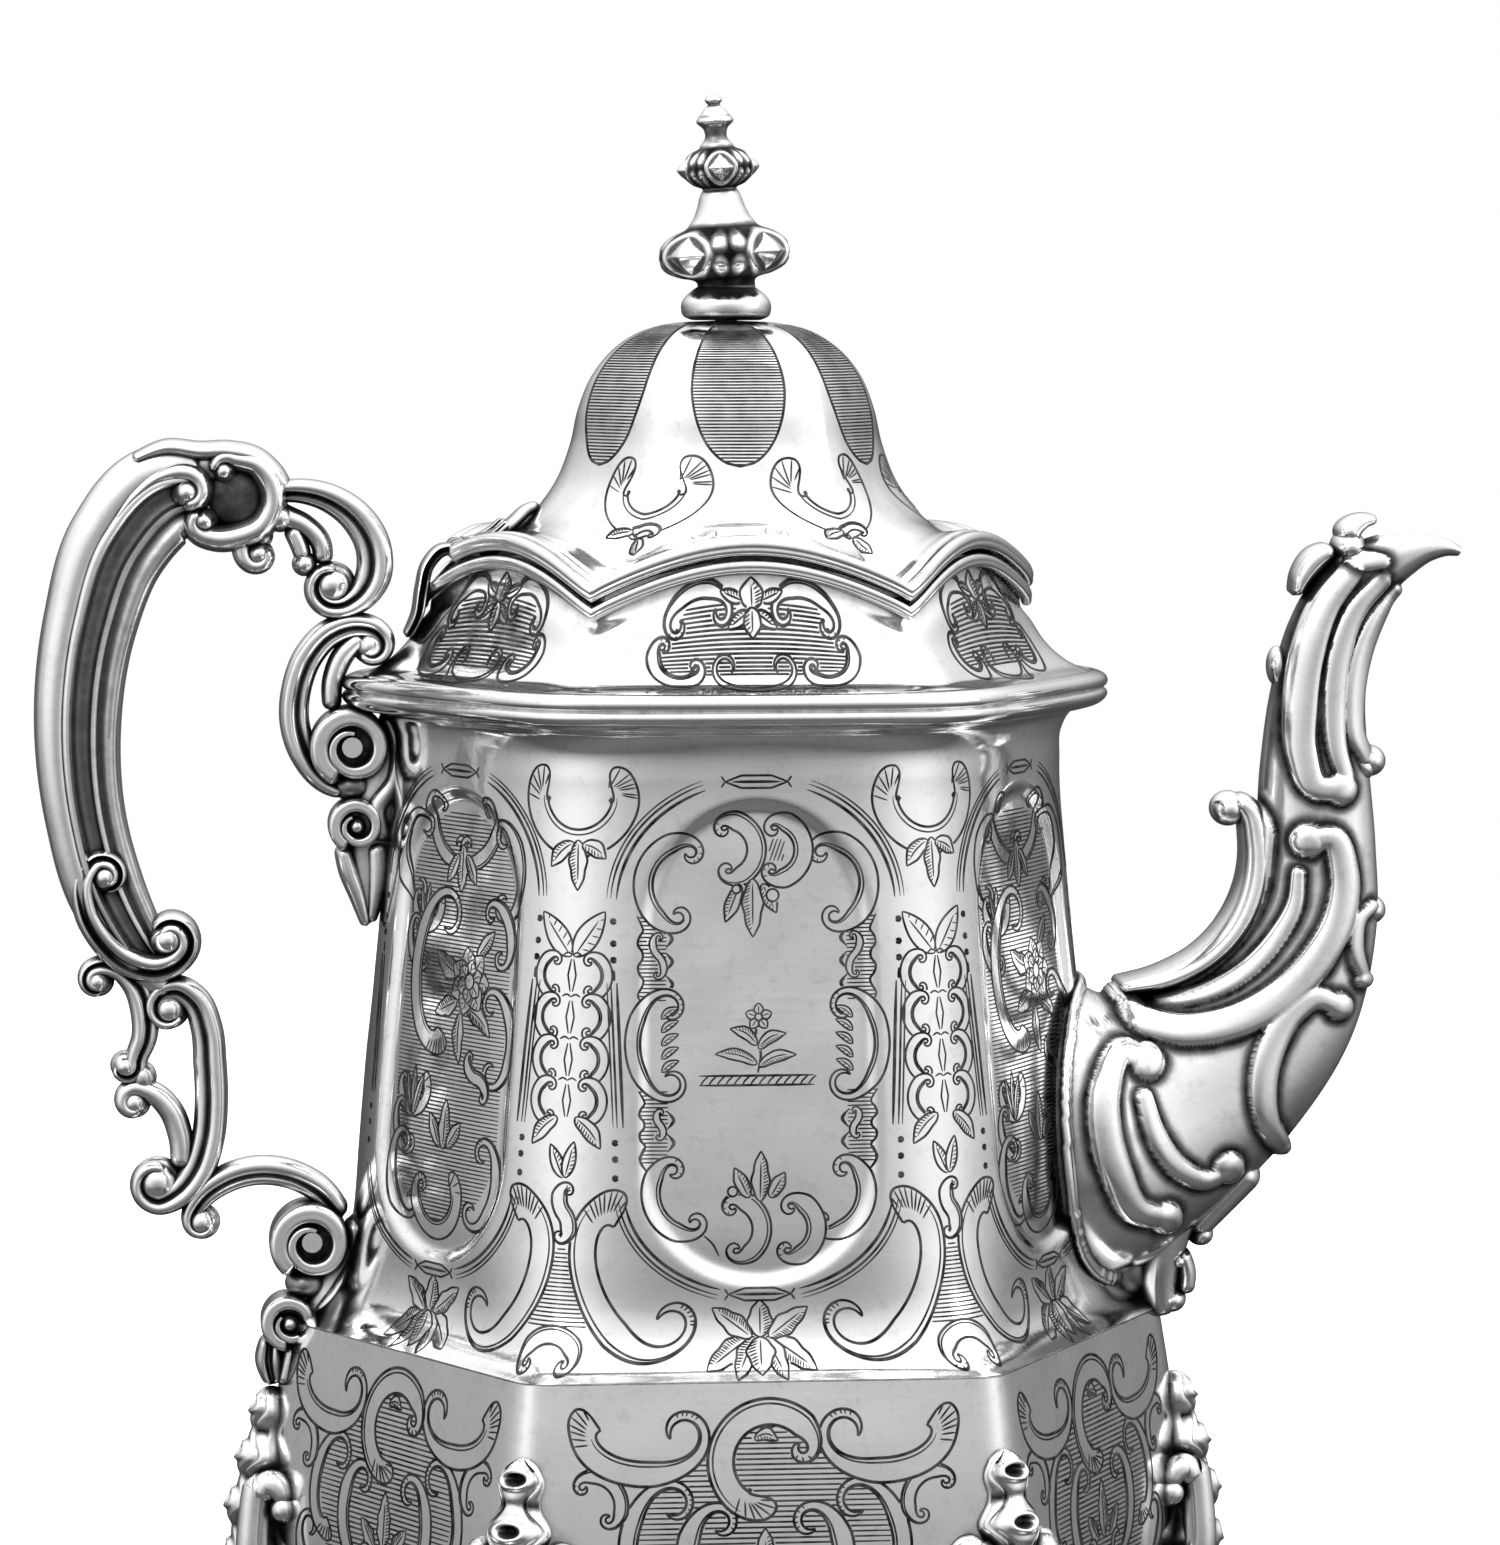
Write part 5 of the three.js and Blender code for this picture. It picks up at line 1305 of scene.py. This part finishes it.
def dome_oval():
    """The hatched teardrop down each face of the lid."""
    t = np.linspace(0, 1, 60)
    low, high = dome_run(247.6), dome_run(270.3)
    v = low + (high - low) * t
    half = 7.6 * np.sqrt(np.clip(1 - (1 - np.clip(t / 0.42, 0, 1)) ** 2, 0, 1))
    half = np.where(t > 0.42, 7.6 - 5.0 * (np.maximum(t - 0.42, 0) / 0.58) ** 1.6, half)
    right, left = np.stack([half, v], -1), np.stack([-half, v], -1)
    ink = Ink()
    ink.hatch(np.concatenate([right, left[::-1]]), 0.56)
    ink.line(right, 0.3, 0)
    ink.line(left, 0.3, 0)
    return ink


def dome_corner():
    """The U-scroll and sprig low on each corner of the lid."""
    ink = Ink()
    low = dome_run(238.2)
    ink.scroll(-5.2, low + 7.6, 5.4, low + 8.0, -8.6, 4.4, BULBS)
    ink.scroll(-0.4, low - 2.6, 2.8, low - 3.0, 2.0, 1.3, shade=False)
    ink.petals((-0.8, low - 1.6, -5.2, low - 5.2, 2.2, 1, -0.5), (0.6, low - 3.2, 1.6, low - 8.0, 2.2, 1))
    return ink


def lower_face():
    """The scrolls on a hatched ground on each face of the lower body."""
    ink = Ink()
    ink.hatch([(-19, 90), (-12, 93), (0, 98), (12, 93), (19, 90), (20, 80), (17, 68), (9, 60),
               (-9, 60), (-17, 68), (-20, 80)], 0.82, 0, 0.24)

    def half(d):
        d.scrolls((-22.6, 72.4, -17, 63.8, -4.6, 2.4, (CURL, BULB)),
                  (-6.4, 66.4, -11.8, 56.8, 4.4, 2.6), width=0.34)
        d.petals((-2.6, 72, -6.8, 76.4, 3, 2), (-2, 63, -6.4, 56.6, 3, 2),
                 (-15.6, 56, -21, 51.6, 2.8, 2, -0.4))
        d.scrolls((-6.9, 82.4, -5.6, 70.6, -6, 2.8),
                  (-14.2, 85.4, -17.6, 75.4, -5.6, 2.4, (CURL, BULB)), width=0.36)
        d.scroll(-28.8, 88.4, -24.9, 83.4, 3.9, 1.8, width=0.32)
        d.scroll(-25.4, 97, -13, 96.8, -6.6, 3.2, (BULB, CURL), width=0.38)
    ink.mirrored(half)
    ink.scroll(-1.7, 86.8, 5.9, 93.8, 9.8, 3.4, (BULB, CURL), width=0.40)
    ink.petal(-1.6, 95.6, 2.2, 95.2, 2, 1, 0.9, fill=0.5)
    ink.petals((0, 72, 0, 81.6, 3.8, 3), (0, 66.4, 0, 57, 3.8, 3))
    ink.scroll(-3.6, 53.4, 3.6, 53.4, -4, 2)
    return ink


def oxide():
    """The black left in engraved lines, a little broken and worn."""
    material = bpy.data.materials.new("engraved oxide")
    graph = Graph(material)
    place = graph.add("TexCoord", out="Object")
    noise = graph.add("TexNoise", {"Vector": place, "Scale": 350.0, "Detail": 4.0})
    graph.feed(graph.nodes["Principled BSDF"], {
        "Metallic": 1.0,
        "Base Color": graph.ramp(noise, [(0.35, (0.018, 0.018, 0.019)), (0.75, (0.16, 0.16, 0.165))]),
        "Roughness": graph.add("MapRange", {"Value": noise, "To Min": 0.42, "To Max": 0.62})})
    return material


OXIDE, FACES = oxide(), [30, 90, 150, 210, 270, 330]
# Each engraved piece: its body, skin, how v is measured, the lines' height, and drawings with their angles.
for name, body, skin, key, lift, drawings in (
        ("engraving_upper_panels", "pot", upper, "height", 0.05,
         [(front_panel(), [90, 270]), (side_panel(), [30, 150, 210, 330])]),
        ("engraving_upper_corners", "pot", upper, "height", 0.05,
         [(corner_strip(), [60, 120, 240, 300]), (face_foot(), FACES)]),
        ("engraving_collar", "pot", collar, "run", 0.09, [(collar_face(), FACES)]),
        ("engraving_lid", "lid", dome, "run", 0.10,
         [(dome_oval(), FACES), (dome_corner(), [0, 60, 120, 240, 300])]),
        ("engraving_lower_faces", "pot", lower, "height", 0.05, [(lower_face(), FACES)])):
    engraving = Form()
    for ink, angles in drawings:
        for angle in angles:
            ink.press(engraving, skin.chart(angle, key), lift)
    piece(name, engraving, body, OXIDE, crease=0)


# ---- floor, light and camera -----------------------------------------------------------------

def studio_world():
    """A white room: grey towards the camera and behind the sides, so the faces show their planes."""
    world = bpy.data.worlds.new("studio")
    bpy.context.scene.world = world
    graph = Graph(world)
    split = graph.nodes.new("ShaderNodeSeparateXYZ")
    graph.feed(split, {0: graph.add("TexCoord", out="Generated")})
    along, up = (graph.add("MapRange", {"Value": split.outputs[k], "From Min": -1}) for k in "YZ")
    walls = graph.ramp(along, [(0, 0.46), (0.05, 0.55), (0.15, 0.95), (0.30, 1.05), (0.46, 0.72),
                               (0.62, 0.56), (0.76, 0.34), (0.90, 0.13), (1, 0.10)], "B_SPLINE")
    ceiling = graph.ramp(up, [(0.52, 0.0), (0.80, 1.0)])
    room = graph.add("MixRGB", {0: ceiling, 1: walls, 2: (1.15, 1.15, 1.15, 1)})
    ground = graph.ramp(up, [(0.22, 0.16), (0.50, 1.0)])
    shaded = graph.add("MixRGB", {0: 1.0, 1: room, 2: ground}, blend_type="MULTIPLY")
    by_camera = graph.add("LightPath", out="Is Camera Ray")
    seen = graph.add("MixRGB", {0: by_camera, 1: shaded, 2: (1, 1, 1, 1)})
    graph.feed(graph.nodes["Background"], {"Color": seen, "Strength": 1.0})


def pale_floor(half=1.6):
    """A square of pale floor, left out of the silver's reflections."""
    mesh = bpy.data.meshes.new("floor")
    corners = [(-half, -half, 0), (half, -half, 0), (half, half, 0), (-half, half, 0)]
    mesh.from_pydata(corners, [], [(0, 1, 2, 3)])
    floor = bpy.data.objects.new("floor", mesh)
    bpy.context.collection.objects.link(floor)
    pale = bpy.data.materials.new("pale floor")
    graph = Graph(pale)
    grain = graph.add("TexNoise", {"Scale": 90.0})
    graph.feed(graph.nodes["Principled BSDF"], {
        "Roughness": graph.add("MapRange", {"Value": grain, "To Min": 0.62, "To Max": 0.72}),
        "Base Color": (0.93, 0.93, 0.93, 1), "Specular IOR Level": 0.1,
        "Emission Color": (1, 1, 1, 1), "Emission Strength": 0.55})
    mesh.materials.append(pale)
    floor.visible_glossy = False


def aimed(name, data, place, aim):
    """A light or camera at a place, turned to look at another."""
    obj = bpy.data.objects.new(name, data)
    obj.location = place
    obj.rotation_euler = (Vector(aim) - Vector(place)).to_track_quat("-Z", "Y").to_euler()
    bpy.context.collection.objects.link(obj)
    return obj


studio_world()
pale_floor()
for name, place, aim_z, wide, tall, watts in (("key", (-0.75, -0.85, 1.25), 0.15, 0.9, 0.9, 6),
                                              ("fill", (1.15, -0.35, 0.8), 0.15, 0.7, 1.0, 3),
                                              ("top", (0.1, 0.25, 1.5), 0.1, 1.2, 1.2, 6)):
    lamp = bpy.data.lights.new(name, "AREA")
    lamp.shape, lamp.size, lamp.size_y, lamp.energy = "RECTANGLE", wide, tall, watts
    aimed(name, lamp, place, (0, 0, aim_z))

AZIMUTH, DISTANCE, EYE_Z = math.radians(-5.2), 0.988, 0.275
lens = bpy.data.cameras.new("camera")
lens.sensor_width, lens.lens = 36.0, 138.0
lens.clip_start, lens.clip_end = 0.05, 30.0
eye = (AXIS_X * MM + math.sin(AZIMUTH) * DISTANCE, -math.cos(AZIMUTH) * DISTANCE, EYE_Z)
bpy.context.scene.camera = aimed("camera", lens, eye, (AXIS_X * MM + 0.004, 0, 0.1956))
bpy.context.scene.view_settings.view_transform = "Standard"
